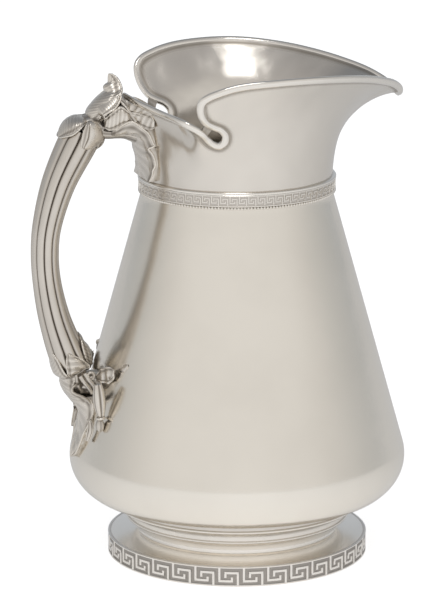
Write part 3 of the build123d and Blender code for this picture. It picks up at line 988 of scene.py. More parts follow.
@dataclass
class Foot:
    """Spun foot with its key band, seat ring and two step wires."""

    radius: float = 60.0
    band_height: float = 9.4
    band: float = 1.4
    ledge: Points = ((58.9, 9.3), (57.5, 9.45), (52.0, 10.35), (48.2, 11.0), (46.5, 11.5))
    cove_low: Points = ((46.2, 12.2), (46.15, 13.6), (46.6, 15.2), (48.0, 16.6), (50.3, 17.3))
    cove_high: Points = ((51.0, 18.7), (51.1, 20.3), (51.9, 22.0), (53.6, 23.2), (56.0, 23.7))
    top: float = 27.75
    units: int = 34
    start: float = -104.0

    def build(self) -> None:
        """Makes the foot's pieces."""
        low, high = self.cove_low, self.cove_high
        outer = list(self.ledge) + list(through(low, 14)) + [(50.75, 17.5), (51.1, 18.1)]
        outer += list(through(high, 14)) + [(56.5, 24.0), (56.55, 25.6), (56.75, self.top)]
        inner = [(r - 1.25, z - (0.9 if z < 12 else 0.0)) for r, z in outer][::-1]
        inner = [(min(r, 57.0), z) for r, z in inner]
        # painted shade and tarnish along the outline: ledge and coves kept light, darker at the step and the
        # top edge, darkest inside
        shade = [0.02] * len(self.ledge) + [0.05] * 14 + [0.4, 0.4] + [0.25] * 14 + [0.3, 0.4, 0.6]
        shape = lathe([tuple(p) for p in outer] + inner, 256, shade + [0.7] * len(inner))
        piece("foot", shape, FOOT_FINISH, Slot.SHEET, "foot_shell")
        for name, r, z, node in (("lower_step_wire", 50.95, 17.95, "foot_lower_wire"),
                                 ("upper_step_wire", 56.55, 24.35, "foot_upper_wire")):
            circle = arc_points((r, z), 0.72, 0, 330, 12)
            piece(name, lathe(circle, 256, [0.1] * 12), WIRE_FINISH, Slot.WIRE, node)
        self.build_band()
        seat_r = self.radius - self.band
        # painted shade and tarnish on the seat ring, which sits under the foot
        piece("seat_ring", lathe([(seat_r - 3, 0), (seat_r, 0), (seat_r, 1.6), (seat_r - 3, 1.6)], 128,
                                 [0.4] * 4), FOOT_FINISH, Slot.WIRE, "foot_seat_ring", flat=30)

    def build_band(self) -> None:
        """Makes the key band: dark ground, two borders and the raised key."""
        r, h, i = self.radius, self.band_height, self.radius - self.band
        ground = r - 0.42
        outline = [(i, 0.0), (r - 0.3, 0.0), (r, 0.25), (r, 0.75), (r - 0.1, 0.9), (ground, 0.98),
                   (ground, h - 0.78), (r - 0.1, h - 0.7), (r, h - 0.55), (r, h - 0.2), (r - 0.25, h),
                   (i, h)]
        # painted shade and tarnish: darkest on the sunk ground, clear on the borders' faces
        shade = [0.4, 0.1, 0, 0, 0.1, 1, 1, 0.1, 0, 0, 0.1, 0.4]
        piece("foot_key_band", lathe(outline, 256, shade), BAND_FINISH, Slot.BAND, "foot_fret_band",
              flat=35)
        key = KeyPattern(ground, 0.0, h, self.units, 1.3, 0.34, 0.9)
        key.dress("foot_key", self.start, BAND_FINISH, Slot.BAND)


@dataclass
class Body:
    """Spun body: floor, round belly and long cone."""

    belly: float = 77.5
    belly_z: float = 46.5
    curve: float = 19.0
    slope: float = 0.28
    neck: float = 43.6
    top: float = 174.0
    floor: float = 27.6
    wall: float = 1.0

    def profile(self, inset: float) -> list[tuple[float, float]]:
        """Outline from the middle of the floor to the top.

        Args:
            inset: distance inside the outer face.

        Returns:
            Points of (radius, height).
        """
        c, k = self.belly - self.curve, self.curve - inset
        tilt = math.degrees(math.atan(self.slope))
        arc = arc_points((c, self.belly_z), k, -60, tilt, 40)
        under = arc[0]
        floor = self.floor + inset
        base = [(0.01, floor + 1.6), (28, floor + 1.2), (50, floor + 0.3), (56.2, floor)]
        base += [tuple(p) for p in through([(56.2, floor), (62.5, floor + (under[1] - floor) * 0.46),
                                            under], 8)][1:-1]
        low = arc[-1]
        high = (self.neck - inset, low[1] + (low[0] - self.neck + inset) / self.slope)
        cone = [(low[0] + (high[0] - low[0]) * t, low[1] + (high[1] - low[1]) * t)
                for t in np.linspace(0, 1, 40)][1:]
        return base + arc + cone + [(self.neck - inset, self.top)]

    def build(self) -> None:
        """Makes the body."""
        outer, inner = self.profile(0), self.profile(self.wall)
        # painted shade and tarnish: the underside of the floor and the inside darker than the outside
        shade = [0.5] * 10 + [0.12] * (len(outer) - 10)
        outline = outer + inner[::-1]
        shape = lathe(outline, 320, shade + [0.45] * len(inner))
        piece("body", shape, BODY_FINISH, Slot.SHEET, "body_shell")


@dataclass
class Collar:
    """Collar: beaded wire, key band and the round wire above."""

    neck: float = 43.6
    low: float = 171.4
    height: float = 5.2
    band: float = 1.4
    units: int = 68
    beads: int = 190
    start: float = -105.6

    def build(self) -> None:
        """Makes the collar's pieces."""
        r, i, z, h = self.neck + self.band, self.neck, self.low, self.height
        ground = r - 0.34
        outline = [(i, z), (r - 0.1, z), (r, z + 0.1), (r, z + 0.5), (ground, z + 0.62),
                   (ground, z + h - 0.5), (r, z + h - 0.4), (r, z + h - 0.1), (r - 0.1, z + h), (i, z + h)]
        # painted shade and tarnish: dark on the sunk ground, clear on the borders' faces; the top wire's
        # inner edge and the beads get some too
        shade = [0.4, 0.1, 0, 0, 0.7, 0.7, 0, 0, 0.1, 0.4]
        piece("collar_key_band", lathe(outline, 256, shade), COLLAR_FINISH, Slot.BAND, "collar_fret_band",
              flat=35)
        KeyPattern(ground, z + 0.5, z + h - 0.1, self.units, 0.5, 0.27, 0.5).dress(
            "collar_key", self.start, COLLAR_FINISH, Slot.BAND)
        top = z + h
        bevel = [(i, top), (r + 0.15, top)] + arc_points((r - 0.62, top + 0.62), 0.8, -35, 70, 10)
        bevel += [(r - 0.9, top + 1.42), (i, top + 1.5)]
        piece("collar_top", lathe(bevel, 256, [0.5, 0.3] + [0.0] * 10 + [0.2, 0.5]), WIRE_FINISH,
              Slot.WIRE, "collar_top_wire")
        bead = ball((self.neck + 0.75, 0, z - 0.66), (0.74, 0.74, 0.74), rows=4, cols=8, shade=0.15)
        obj = round_axis("collar_beads", bead, self.beads, 0.0, WIRE_FINISH)
        seat(obj, WIRE_FINISH, Slot.WIRE, "collar_bead_wire")


@dataclass
class Neck:
    """Raised neck with its beak spout, ears, notches and eyelets, and the wire on its rim."""

    radius: float = 43.6
    low: float = 180.0
    joint: float = 174.0
    wall: float = 1.0
    wire: tuple[float, float] = (1.25, 1.75)
    ear: float = 114.0
    notch_foot: int = 4
    notch_back: int = 12
    rim: Points = (
        (0, 77.5, 211.2, 0), (7, 75.4, 214.6, 8), (14, 71.3, 218.4, 20), (25, 66.2, 222.0, 34),
        (38, 62.4, 225.0, 44), (55, 60.6, 227.6, 50), (74, 60.3, 229.2, 52), (92, 59.8, 229.0, 56),
        (107, 60.0, 227.4, 61), (118, 61.8, 223.6, 66), (127, 62.6, 218.0, 66),
        (138, 58.2, 218.4, 56), (152, 55.8, 220.2, 52), (180, 56.0, 221.6, 54),
    )
    right: Points = (
        (-29.2, -54.5, 223.5), (-32.0, -53.3, 221.3), (-32.6, -52.0, 218.4), (-31.5, -50.1, 214.5),
        (-28.8, -48.2, 211.0), (-25.1, -46.9, 208.9), (-21.6, -46.1, 207.2), (-19.1, -44.8, 204.2),
        (-19.1, -43.5, 201.0), (-21.1, -42.4, 199.3), (-24.0, -42.0, 200.1), (-27.2, -43.0, 202.8),
        (-30.5, -44.9, 206.1), (-37.0, -43.1, 210.1), (-42.7, -27.8, 212.0), (-49.0, -14.2, 214.4),
        (-51.8, -3.2, 215.8), (-52.2, 0.0, 216.0),
    )
    left: Points = (
        (-29.2, 54.5, 223.5), (-32.0, 53.0, 220.7), (-32.6, 51.3, 217.0), (-31.5, 48.6, 211.9),
        (-28.8, 46.0, 207.6), (-25.1, 44.7, 205.3), (-21.6, 44.2, 203.6), (-19.1, 43.3, 200.6),
        (-19.1, 42.2, 197.4), (-21.1, 41.0, 195.7), (-24.0, 40.3, 196.5), (-27.2, 40.8, 199.2),
        (-30.5, 42.0, 202.5), (-37.0, 36.8, 206.7), (-42.7, 24.8, 209.2), (-49.0, 11.2, 213.0),
        (-51.8, 3.2, 215.4), (-52.2, 0.0, 216.0),
    )

    def value(self, column: int, angle: float) -> float:
        """Smooth value between the stations of the rim.

        Args:
            column: 1 radius, 2 height, 3 slope.
            angle: degrees from the spout.

        Returns:
            The value.
        """
        angle = abs(angle) if abs(angle) <= 180 else 360 - abs(angle)
        a = [s[0] for s in self.rim]
        v = [s[column] for s in self.rim]
        a, v = [-a[1]] + a + [360 - a[-2]], [v[1]] + v + [v[-2]]
        k = 1
        while k < len(a) - 3 and angle > a[k + 1]:
            k += 1
        h = a[k + 1] - a[k]
        q = (angle - a[k]) / h
        m0 = (v[k + 1] - v[k - 1]) / (a[k + 1] - a[k - 1]) * h
        m1 = (v[k + 2] - v[k]) / (a[k + 2] - a[k]) * h
        return ((2*q**3 - 3*q**2 + 1) * v[k] + (q**3 - 2*q**2 + q) * m0
                + (3*q**2 - 2*q**3) * v[k + 1] + (q**3 - q**2) * m1)

    def meridian(self, angle: float, count: int) -> Array:
        """Outside of the neck at one angle, from the joint to the rim.

        Args:
            angle: degrees from the spout.
            count: number of points on the flare.

        Returns:
            Points of (radius, height).
        """
        r, z, s = (self.value(i, angle) for i in (1, 2, 3))
        run, rise, s = r - self.radius, z - self.low, math.radians(s)
        reach = 0.378 * math.hypot(rise, run)
        c = np.array([(self.radius, self.low), (self.radius + 0.06 * run, self.low + 0.55 * rise),
                      (r - reach * math.cos(s), z - reach * math.sin(s)), (r, z)])
        t = np.linspace(0, 1, count)[:, None]
        flare = (1-t)**3 * c[0] + 3*t*(1-t)**2 * c[1] + 3*t*t*(1-t) * c[2] + t**3 * c[3]
        return np.vstack([[(self.radius, self.joint), (self.radius, (self.joint + self.low) / 2)], flare])

    def sheet(self, columns: int = 360, rows: int = 56) -> Shape:
        """Neck with its wall, uncut.

        Args:
            columns: steps round the axis.
            rows: points on the flare.

        Returns:
            The shape.
        """
        angles = np.linspace(0, 360, columns, endpoint=False)
        outer = []
        for a in angles:
            m = self.meridian(a, rows)
            q = -math.radians(a)
            outer.append(np.stack([m[:, 0] * math.cos(q), m[:, 0] * math.sin(q), m[:, 1]], -1))
        outer = np.array(outer)
        du = np.roll(outer, -1, 0) - np.roll(outer, 1, 0)
        dv = np.gradient(outer, axis=1)
        normal = unit(np.cross(dv, du))
        normal[:, :2, 2] = 0
        normal = unit(normal)
        inner = outer - normal * self.wall
        n = rows + 2
        both = np.concatenate([outer, inner[:, ::-1]], axis=1)
        faces = [
            (i * 2 * n + j, i * 2 * n + (j + 1) % (2 * n),
             ((i + 1) % columns) * 2 * n + (j + 1) % (2 * n), ((i + 1) % columns) * 2 * n + j)
            for i in range(columns) for j in range(2 * n)
        ]
        return Shape(both.reshape(-1, 3), faces)

    def cutter(self, outline: Array, side: int) -> bpy.types.Object:
        """Prism through one side of the neck.

        Args:
            outline: side view of the cut, (x, z).
            side: -1 for the right side, 1 for the left.

        Returns:
            The cutting object.
        """
        n = len(outline)
        verts = [(x, y, z) for y in (-0.37 * side, 90.0 * side) for x, z in outline]
        faces = [tuple(range(n)), tuple(range(2 * n - 1, n - 1, -1))]
        faces += [(i, i + n, (i + 1) % n + n, (i + 1) % n) for i in range(n)]
        obj = loose("cut", Shape(np.array(verts), faces))
        cleaned(obj, merge=False)
        return obj

    def build(self) -> None:
        """Makes the neck and its rim wire."""
        neck = loose("neck", self.sheet())
        cleaned(neck, merge=False)
        for path, side in ((self.right, -1), (self.left, 1)):
            flat = [(x, z) for x, y, z in path]
            bottom, foot = flat[self.notch_foot], flat[self.notch_back]
            pinch = ((bottom[0] + foot[0]) / 2, (bottom[1] + foot[1]) / 2)
            down = through(flat[:self.notch_foot + 1] + [pinch], 30)
            back = through([pinch] + flat[self.notch_back:], 40)[1:]
            top = [(-85, flat[-1][1]), (-85, 260), (flat[0][0], 260)]
            eyelet = flat[self.notch_foot + 1:self.notch_back]
            for outline in (np.vstack([down, back, top]), through(eyelet + eyelet[:1], 40)[:-1]):
                cut = self.cutter(outline, side)
                mod = neck.modifiers.new("cut", "BOOLEAN")
                mod.operation, mod.solver, mod.object = "DIFFERENCE", "EXACT", cut
                baked(neck)
                bpy.data.objects.remove(cut)
        lines = [self.line(self.right, -1), self.line(self.left, 1)]
        self.darken(neck, np.vstack(lines))
        seat(neck, NECK_FINISH, Slot.SHEET, "neck_shell")
        for line, side in zip(lines, ("right", "left")):
            piece(f"rim_wire_{side}_side", self.moulding(line), WIRE_FINISH, Slot.WIRE, f"rim_wire_{side}")

    @staticmethod
    def darken(neck: bpy.types.Object, line: Array) -> None:
        """Paints shade into the corner between the sheet and its rim wire, and darkens the whole sheet a
        little.

        Args:
            neck: the cut sheet.
            line: points on the rim wires, mm.
        """
        tree = KDTree(len(line))
        for k, p in enumerate(line):
            tree.insert(p, k)
        tree.balance()
        values = [0.0] * len(neck.data.vertices)
        for v in neck.data.vertices:
            d = tree.find(v.co / MM)[2]
            # painted shade: darkest about 2.2 mm from the wire's middle line, none within 1.2 mm of it, and
            # 0.1 over the whole sheet
            values[v.index] = 0.1 + 0.8 * math.exp(-((d - 2.2) / 0.9) ** 2) * (d > 1.2)
        att = neck.data.attributes.new("shade_and_tarnish", "FLOAT", "POINT")
        att.data.foreach_set("value", values)

    def line(self, path: Points, side: int) -> Array:
        """Middle line of the rim wire on one side.

        Args:
            path: its points behind the ear.
            side: -1 for the right side, 1 for the left.

        Returns:
            The points from the spout to the handle.
        """
        front = []
        for a in np.linspace(0, self.ear, 60):
            r, z, q = self.value(1, a), self.value(2, a), math.radians(a)
            front.append((r * math.cos(q), r * math.sin(q) * side, z))
        tail = through(front[-3:-1] + list(path), 240)
        return through([tuple(p) for p in np.vstack([front[:-3], tail])[::2]] + [tuple(tail[-1])], 420)

    def moulding(self, line: Array) -> Shape:
        """Oval wire along the rim, wider along the sheet than across it.

        Args:
            line: its middle line, mm.

        Returns:
            The wire.
        """
        t = unit(np.gradient(line, axis=0))
        out = unit(np.stack([line[:, 0], line[:, 1], np.full(len(line), -22.0)], axis=1))
        x = unit(out - t * np.sum(out * t, axis=1, keepdims=True))
        y = np.cross(t, x)
        q = round_turn(20)
        across, along = (np.full((len(line), 1), half) for half in self.wire)
        return ringed(ovals(line, x, y, across, along, q), line[[0, -1]], np.full(20, 0.05), 0.05)


@dataclass
class Grip:
    """Reeded grip, bent on one arc."""

    line: Points = ((-72.2, 0, 200.6), (-73.9, 0, 197.4), (-83.6, 0, 178.0), (-89.3, 0, 158.0),
                    (-90.3, 0, 146.0), (-89.6, 0, 134.0), (-86.3, 0, 116.5), (-79.8, 0, 97.0),
                    (-77.8, 0, 92.4))
    depth: tuple[float, ...] = (8.4, 8.8, 7.6, 6.5, 6.3, 6.4, 7.2, 8.4, 7.6)
    width: float = 1.12
    reeds: int = 10
    groove: float = 0.14

    def build(self) -> None:
        """Makes the grip."""
        q = round_turn(self.reeds * 14)
        phase = np.abs(np.sin(q * self.reeds / 2))
        k = 1 - self.groove * (1 - np.sqrt(np.clip(1 - (1 - phase) ** 2, 0, 1)))
        data = through([tuple(p) + (d,) for p, d in zip(self.line, self.depth)], 120)
        p, a = data[:, :3], data[:, 3]
        t = unit(np.gradient(p, axis=0))
        x = unit(np.cross(ACROSS, t))
        y = np.cross(t, x)
        rings = ovals(p, x, y, a[:, None] * k, self.width * a[:, None] * k, q)
        # painted shade and tarnish: darker in the grooves between the reeds and at the ends
        deep = np.clip(1 - phase * 1.6, 0, 1) ** 1.5
        shape = ringed(rings, p[[0, -1]], 0.1 + 0.9 * deep, 0.6)
        piece("grip", shape, GRIP_FINISH, Slot.CAST, "handle_grip", flat=75)


class Mount:
    """A group of castings at one end of the handle."""

    def add(self, name: str, shape: Shape, node: str) -> None:
        """Adds one casting.

        Args:
            name: its name.
            shape: its mesh.
            node: the solid it stands for.
        """
        piece(name, shape, CAST_FINISH, Slot.CAST, node, flat=50)

    def pair(self, name: str, shape: Shape, node: str) -> None:
        """Adds a casting on each side; the shape is the -Y one.

        Args:
            name: its name without the side.
            shape: its mesh.
            node: name of the solids without the side.
        """
        self.add(name + "_right_side", shape, node + "_right")
        self.add(name + "_left_side", shape.mirrored(), node + "_left")


@dataclass
class UpperMount(Mount):
    """Castings between the grip, the rim and the neck."""

    knot: Bar = Bar(
        ((-72.4, 0, 200.8), (-69.6, 0, 203.2), (-66.6, 0, 203.9), (-63.8, 0, 202.6)),
        ((7.2, 8.0), (6.2, 7.4), (5.2, 6.6), (3.8, 6.0)), 12, 0.05)
    outer_sepal: Arch = Arch(
        ((-69.8, 206.9), (-72.7, 208.4), (-75.6, 208.7), (-79.4, 207), (-81.5, 204.6), (-83, 201.6),
         (-83.6, 199.5)),
        ((-72, -6, 206), (-73.8, -8, 205.1), (-75.9, -8.8, 203.6), (-79, -8.5, 201.5),
         (-81.4, -6.5, 200.5), (-83, -3, 199.5), (-83.5, -0.5, 199.2)), veins=12)
    side_sepal: Petal = Petal(
        ((-71.8, -8.5, 207.4), (-73.3, -10, 205.2), (-74.5, -10.5, 202.5), (-75.2, -10.5, 199.2),
         (-75.4, -10, 196.3), (-74.2, -9, 194.4)),
        ((-70.6, -8, 207.5), (-68.3, -8.5, 206.7), (-66.2, -8.5, 204.5), (-65, -8, 201.5),
         (-64.7, -7, 198), (-66.7, -7, 195.8), (-69.9, -8, 194.5), (-73.5, -9, 194.3)),
        bulge=2.2, thick=2.4, rim_a=0.35, rim_b=0.0, crease=0.3, shade=0.15)
    inner_sepal: Arch = Arch(
        ((-62.6, 200.0), (-62.4, 197.4), (-63.6, 194.9), (-66.4, 192.4)),
        ((-66.4, -6.6, 200.0), (-66.6, -7.4, 197.0), (-67.0, -5.6, 194.4), (-67.0, -0.6, 192.4)),
        rim=0.3, shade=0.5)
    branch: Bar = Bar(
        ((-66.5, 0, 201.4), (-61.1, 0, 200.4), (-57, 0, 200.6), (-52.9, 0, 200.6), (-48.2, 0, 199.5)),
        ((3.4, 6.0), (3.2, 6.0), (3.4, 6.4), (3.8, 7.4), (4.6, 9.0)), 8, 0.05)
    knuckle: Petal = Petal(
        ((-64.2, -7, 206.3), (-62.3, -8.5, 209.2), (-59.3, -9, 211.6), (-56.7, -9, 213),
         (-54.3, -9.5, 211.2), (-52, -9, 208.9)),
        ((-64.2, -7, 203.7), (-61.5, -7.5, 202.4), (-58.2, -8.5, 203.4), (-55.3, -9, 205.1),
         (-53.1, -9.5, 206.1), (-51.9, -9, 208)),
        bulge=1.4, thick=2.4, rim_a=0.3, rim_b=0.3, folds=7, fold=0.1, shade=0.3)
    thumb: Arch = Arch(
        ((-70.8, 207), (-70.7, 209.4), (-70, 211.2), (-68.5, 213.1), (-65.9, 215.8), (-63.4, 217.8),
         (-62.1, 218.9), (-62.6, 220.5), (-61.9, 221.8), (-60.5, 222.7), (-60.4, 224.7), (-60.2, 226.6)),
        ((-67.6, -6, 207.4), (-64.5, -7, 209.5), (-60.4, -7.5, 212.7), (-57.9, -7.5, 215.8),
         (-56.7, -6.5, 218), (-55.3, -5, 220), (-55.4, -3.5, 222), (-56.3, -2, 224.3), (-57.7, -1, 226),
         (-59.5, -0.3, 226.7)), rim=0.6, veins=14, vein=0.05, rib=0.0, core=(0.6, 0, -0.6))
    cup: Petal = Petal(
        ((-67.1, -1.5, 206.4), (-67.9, -2.5, 209.5), (-67.4, -3, 212.8), (-64.7, -2.5, 216.3),
         (-62.1, -2, 218.7), (-59.1, -2, 220), (-56, -1.5, 220)),
        ((-65.8, -5.5, 206.6), (-64.1, -8, 207.8), (-64.5, -8.8, 209.6), (-62.5, -9.2, 210.9),
         (-59.8, -9.2, 212.3), (-57.7, -8.6, 214.6), (-56.3, -7.5, 217), (-56.3, -6, 219.4)),
        bulge=1.1, thick=1.4, rim_b=0.6, folds=16, fold=0.02, shade=0.22)
    rim_seat: Bar = Bar(
        ((-59.6, 0, 216.2), (-56.6, 0, 215.0), (-53.6, 0, 211.6), (-50.4, 0, 206.4)),
        ((2.6, 5.4), (3.4, 6.8), (3.6, 9.2), (3.0, 12.0)), 10, 0.06)
    ribbon_top: Petal = Petal(
        ((-57, -3, 217), (-53.5, -6, 215.5), (-50.5, -10, 214), (-47.5, -15.5, 212.6),
         (-44.5, -19.5, 210.6)),
        ((-55.4, -5.5, 212.2), (-53.9, -7.5, 211), (-51.9, -9.5, 210), (-49.4, -12, 209.7),
         (-46, -16.5, 209.4)), bulge=0.9, thick=2.4, rim_b=0.4, folds=5, fold=0.12)
    ribbon: Petal = Petal(
        ((-55.4, -6, 212.4), (-53.9, -8, 211.2), (-51.9, -10, 210.2), (-49.4, -12, 210.1),
         (-47, -14.5, 210.4), (-45.5, -16.5, 210), (-44.8, -18, 208.9), (-44, -18.5, 207.2)),
        ((-53.9, -6, 210.1), (-52, -8.5, 207.9), (-50, -10.5, 206.1), (-48.1, -13, 204.2),
         (-46.1, -15, 203.4), (-44.6, -17, 203.7), (-43.8, -18, 204.4)),
        bulge=0.9, thick=1.9, rim_a=0.45, rim_b=0.3, folds=6, fold=0.1, lobes=4, lobe=0.07)
    bracket: Arch = Arch(
        ((-60.6, 197.4), (-54.9, 197.6), (-50.5, 197.4), (-49.3, 195.6), (-47.7, 191.4), (-46.7, 187.3),
         (-45.9, 182.1), (-45.9, 179.2)),
        ((-60.3, -6.5, 201.4), (-57.6, -8, 203.4), (-54.4, -9.5, 205.6), (-52.1, -10.5, 206.2),
         (-48, -12.5, 203.6), (-45.2, -13.5, 200.9), (-43.6, -14, 197.3), (-43, -14.5, 195.5),
         (-45.4, -13.5, 194.1), (-44.1, -14, 192.3), (-42.9, -14.5, 189.3), (-42.6, -14.5, 186.5),
         (-43.5, -14, 184.2), (-43.7, -13.5, 182.1), (-45.1, -12.5, 178.9)),
        rim=0.6, veins=7, vein=0.06, rib=0.3, core=(3.0, 0, 0))
    cup_scroll: tuple[float, float, float] = (-63.7, -8.9, 208.8)

    def build(self) -> None:
        """Makes the castings, from the grip to the neck."""
        self.add("upper_knot_piece", self.knot.shape(), "upper_knot")
        self.add("outer_sepal", self.outer_sepal.shape(), "upper_sepal_outer")
        self.pair("side_sepal", self.side_sepal.shape(), "upper_sepal")
        self.add("inner_sepal", self.inner_sepal.shape(), "upper_sepal_inner")
        self.add("branch", self.branch.shape(), "upper_branch")
        self.pair("knuckle", self.knuckle.shape(), "upper_knuckle")
        self.add("thumb", self.thumb.shape(80), "thumb_leaf")
        self.pair("cup", self.cup.shape(64), "thumb_cup")
        self.pair("cup_scroll", scroll(self.cup_scroll, 1.5, 0.5, 1.0, 60), "upper_scroll")
        self.add("rim_seat_piece", self.rim_seat.shape(20, 60), "rim_seat")
        self.pair("rim_ribbon", self.ribbon_top.shape() + self.ribbon.shape(), "rim_scroll")
        self.add("neck_bracket", self.bracket.shape(90), "neck_leaf")


@dataclass
class LowerMount(Mount):
    """Castings between the grip and the body."""

    knot: Bar = Bar(
        ((-78.2, 0, 94.0), (-78.0, 0, 90.0), (-77.4, 0, 86.0), (-75.8, 0, 81.6)),
        ((6.6, 7.6), (6.2, 7.4), (5.4, 7.6), (3.2, 6.4)), 14, 0.05)
    shoulder: Arch = Arch(
        ((-84.6, 88.9), (-84, 87.4), (-83.8, 85.2), (-82.3, 81.8), (-80.2, 78.9), (-78.4, 76.2)),
        ((-78.9, -7.5, 90.4), (-79.1, -8, 88.6), (-80.4, -9, 85.6), (-79.4, -9, 82.5),
         (-75.6, -9, 80.9), (-72.9, -8.5, 78.6)), rim=0.3, veins=6)
    folds: tuple[Points, Points] = (
        ((-76.6, -8.5, 90.2), (-75.3, -9.8, 87.9), (-73.2, -9.8, 85.2), (-71.4, -8.5, 82.2)),
        ((-74.6, -9, 91.5), (-73.3, -10.3, 89.2), (-71.2, -10.3, 86.4), (-70.1, -9, 83.7)))
    fold_wires: tuple[float, float] = (1.0, 0.95)
    outer_sepal: Arch = Arch(
        ((-84, 88), (-86.8, 90.5), (-87.9, 93.2), (-88.3, 95.8), (-88.5, 98.4), (-89.3, 100.5),
         (-89.1, 101.5)),
        ((-81.4, -8, 90.3), (-83.7, -8.5, 92), (-85.2, -8, 94.6), (-86.3, -7, 97.2),
         (-87.5, -5.5, 99.4), (-88.6, -3.5, 101.1), (-89, -1, 101.5)), rim=0.55)
    side_sepal: Petal = Petal(
        ((-80.9, -8.5, 90), (-82.3, -9.5, 91.6), (-83, -10, 93.6), (-83.3, -10.2, 97.1),
         (-83, -10, 100.4), (-82, -9.5, 101.7)),
        ((-78.5, -8.5, 91.2), (-76.2, -8.5, 92.5), (-74.2, -8.3, 93.6), (-72.2, -8, 94.1),
         (-72.7, -8.3, 95.5), (-74.2, -8.8, 96.9), (-76.3, -9.2, 98.6), (-79.3, -9.5, 100.2),
         (-81.6, -9.5, 101.5)), bulge=1.2, thick=2.0, rim_a=0.4, rim_b=0.3, folds=4, fold=0.15)
    inner_sepal: Arch = Arch(
        ((-68.8, 94.1), (-69.1, 97.3), (-69.6, 99.9), (-70.9, 102.6), (-72.8, 104.8), (-73.8, 107),
         (-75, 108.9)),
        ((-72.5, -6, 94.8), (-73.5, -7, 97.9), (-74.5, -7.5, 101.3), (-75.1, -7, 104.2),
         (-75.2, -5.5, 106.4), (-75.2, -3, 107.9), (-75.2, -0.5, 109)), rim=0.5, shade=0.5)
    scroll_place: tuple[float, float, float] = (-72.2, -9.3, 90.6)
    curl: Points = (
        (-77.2, -7.5, 86.7), (-79.3, -8.8, 86.3), (-80.7, -9.4, 85.3), (-80.9, -9.6, 84),
        (-79.3, -9.6, 82.6), (-76.5, -9.4, 81.3), (-73.9, -9, 79.5), (-71.9, -8.6, 77.1))
    side_leaf: Petal = Petal(
        ((-69.7, -9, 89.8), (-68.3, -11, 92.8), (-67, -14, 94.6), (-64.7, -18, 95.8),
         (-63.9, -20, 94.3)),
        ((-69.3, -9.5, 88.2), (-67.8, -12, 88.2), (-65.8, -15.5, 88.4), (-64.6, -19, 90.3),
         (-63.9, -20.5, 92.5)), bulge=1.6, thick=2.0, rim_a=0.3, rim_b=0.7, folds=3, fold=0.2)
    small_leaf: Petal = Petal(
        ((-65.3, -12, 85.1), (-64.4, -15, 87.5), (-63.2, -18, 88.6)),
        ((-65.1, -13, 82.4), (-64.2, -16, 84.2), (-63.1, -19, 87.6)), bulge=1.2, thick=2.2, rim_b=0.5)
    leaf_tip: Petal = Petal(
        ((-61.6, -20, 95.4), (-60.7, -22, 96.8), (-58.9, -25, 98.7)),
        ((-61.3, -20.5, 93.8), (-60.1, -23, 93.9), (-58.8, -25.5, 97.8)),
        bulge=1.0, thick=2.4, rim_b=0.3)
    seat: Bar = Bar(
        ((-76.0, 0, 84.6), (-70.4, 0, 84.6), (-67.6, 0, 84.0)),
        ((5.0, 6.4), (5.8, 8.6), (6.4, 10.4)), 10, 0.08)
    tail: Arch = Arch(
        ((-79.1, 78.7), (-76.8, 75.4), (-75.4, 72.1), (-75.4, 68.9), (-75.6, 65.4), (-76.2, 61.8),
         (-77.2, 58.7), (-78.4, 55.7), (-79.4, 52.6), (-79.6, 50.6)),
        ((-73.3, -8, 80.3), (-71.4, -8.8, 77.7), (-70.8, -8.8, 75.3), (-71.2, -8.8, 72.1),
         (-72.2, -8.8, 69.4), (-73.6, -8.5, 66.3), (-75.1, -8, 63.6), (-75.9, -7, 60.6),
         (-76.9, -5.5, 56.7), (-77.8, -3, 52.9), (-79.3, -0.3, 50.6)),
        rim=0.6, veins=6, rib=0.5, core=(3.5, 0, 0))
    leaflet: Petal = Petal(
        ((-74.8, -12, 70.9), (-74.4, -13, 69.6), (-74.6, -13.5, 67), (-75.1, -13.5, 64.3),
         (-75.7, -13, 61.3)),
        ((-74, -12.5, 71), (-72.7, -13.5, 69.8), (-72.6, -14.5, 67.1), (-73.4, -14.5, 63.7),
         (-74.5, -14, 60.9)), bulge=0.8, thick=2.0, rim_a=0.3, rim_b=0.3)
    drop: tuple[float, float] = (-70.3, -20.6)
    drop_outline: Points = ((1.9, 15.2), (2.6, 12.0), (2.9, 7.0), (2.3, 2.6), (1.6, 0.2))
    drop_lean: float = -5.0

    def build(self) -> None:
        """Makes the castings, from the grip down the body."""
        first, second = (tube(through(p, 24), r) for p, r in zip(self.folds, self.fold_wires))
        folds = first + second
        self.add("lower_knot_piece", self.knot.shape() + self.shoulder.shape() + folds
                 + folds.mirrored(), "lower_knot")
        self.add("lower_outer_sepal", self.outer_sepal.shape(), "lower_sepal_outer")
        self.pair("lower_side_sepal", self.side_sepal.shape(), "lower_sepal")
        self.add("lower_inner_sepal", self.inner_sepal.shape(), "lower_sepal_inner")
        self.pair("lower_scroll_wire", scroll(self.scroll_place, 2.7, 0.8, 1.2, 300), "lower_scroll")
        self.pair("lower_curl_wire", tube(through(self.curl, 48), 0.6), "lower_curl")
        leaf = self.side_leaf.shape() + self.small_leaf.shape(30, 21) + self.leaf_tip.shape(30, 21)
        self.pair("body_side_leaf", leaf, "body_leaf")
        self.add("body_seat", self.seat.shape(12, 40), "lower_seat")
        self.build_drops()
        self.add("tail", self.tail.shape(80), "tail_leaf")
        self.pair("tail_side_leaf", self.leaflet.shape(), "tail_leaflet")

    def build_drops(self) -> None:
        """Makes the two hanging buds."""
        x, y = self.drop
        side = [tuple(p) for p in through(self.drop_outline, 16)]
        outline = [(0.02, 15.4)] + side + [(0.02, 0.2)]
        calyx = lathe(outline[::-1], 48)
        q = np.arctan2(calyx.verts[:, 1], calyx.verts[:, 0]) + 0.35
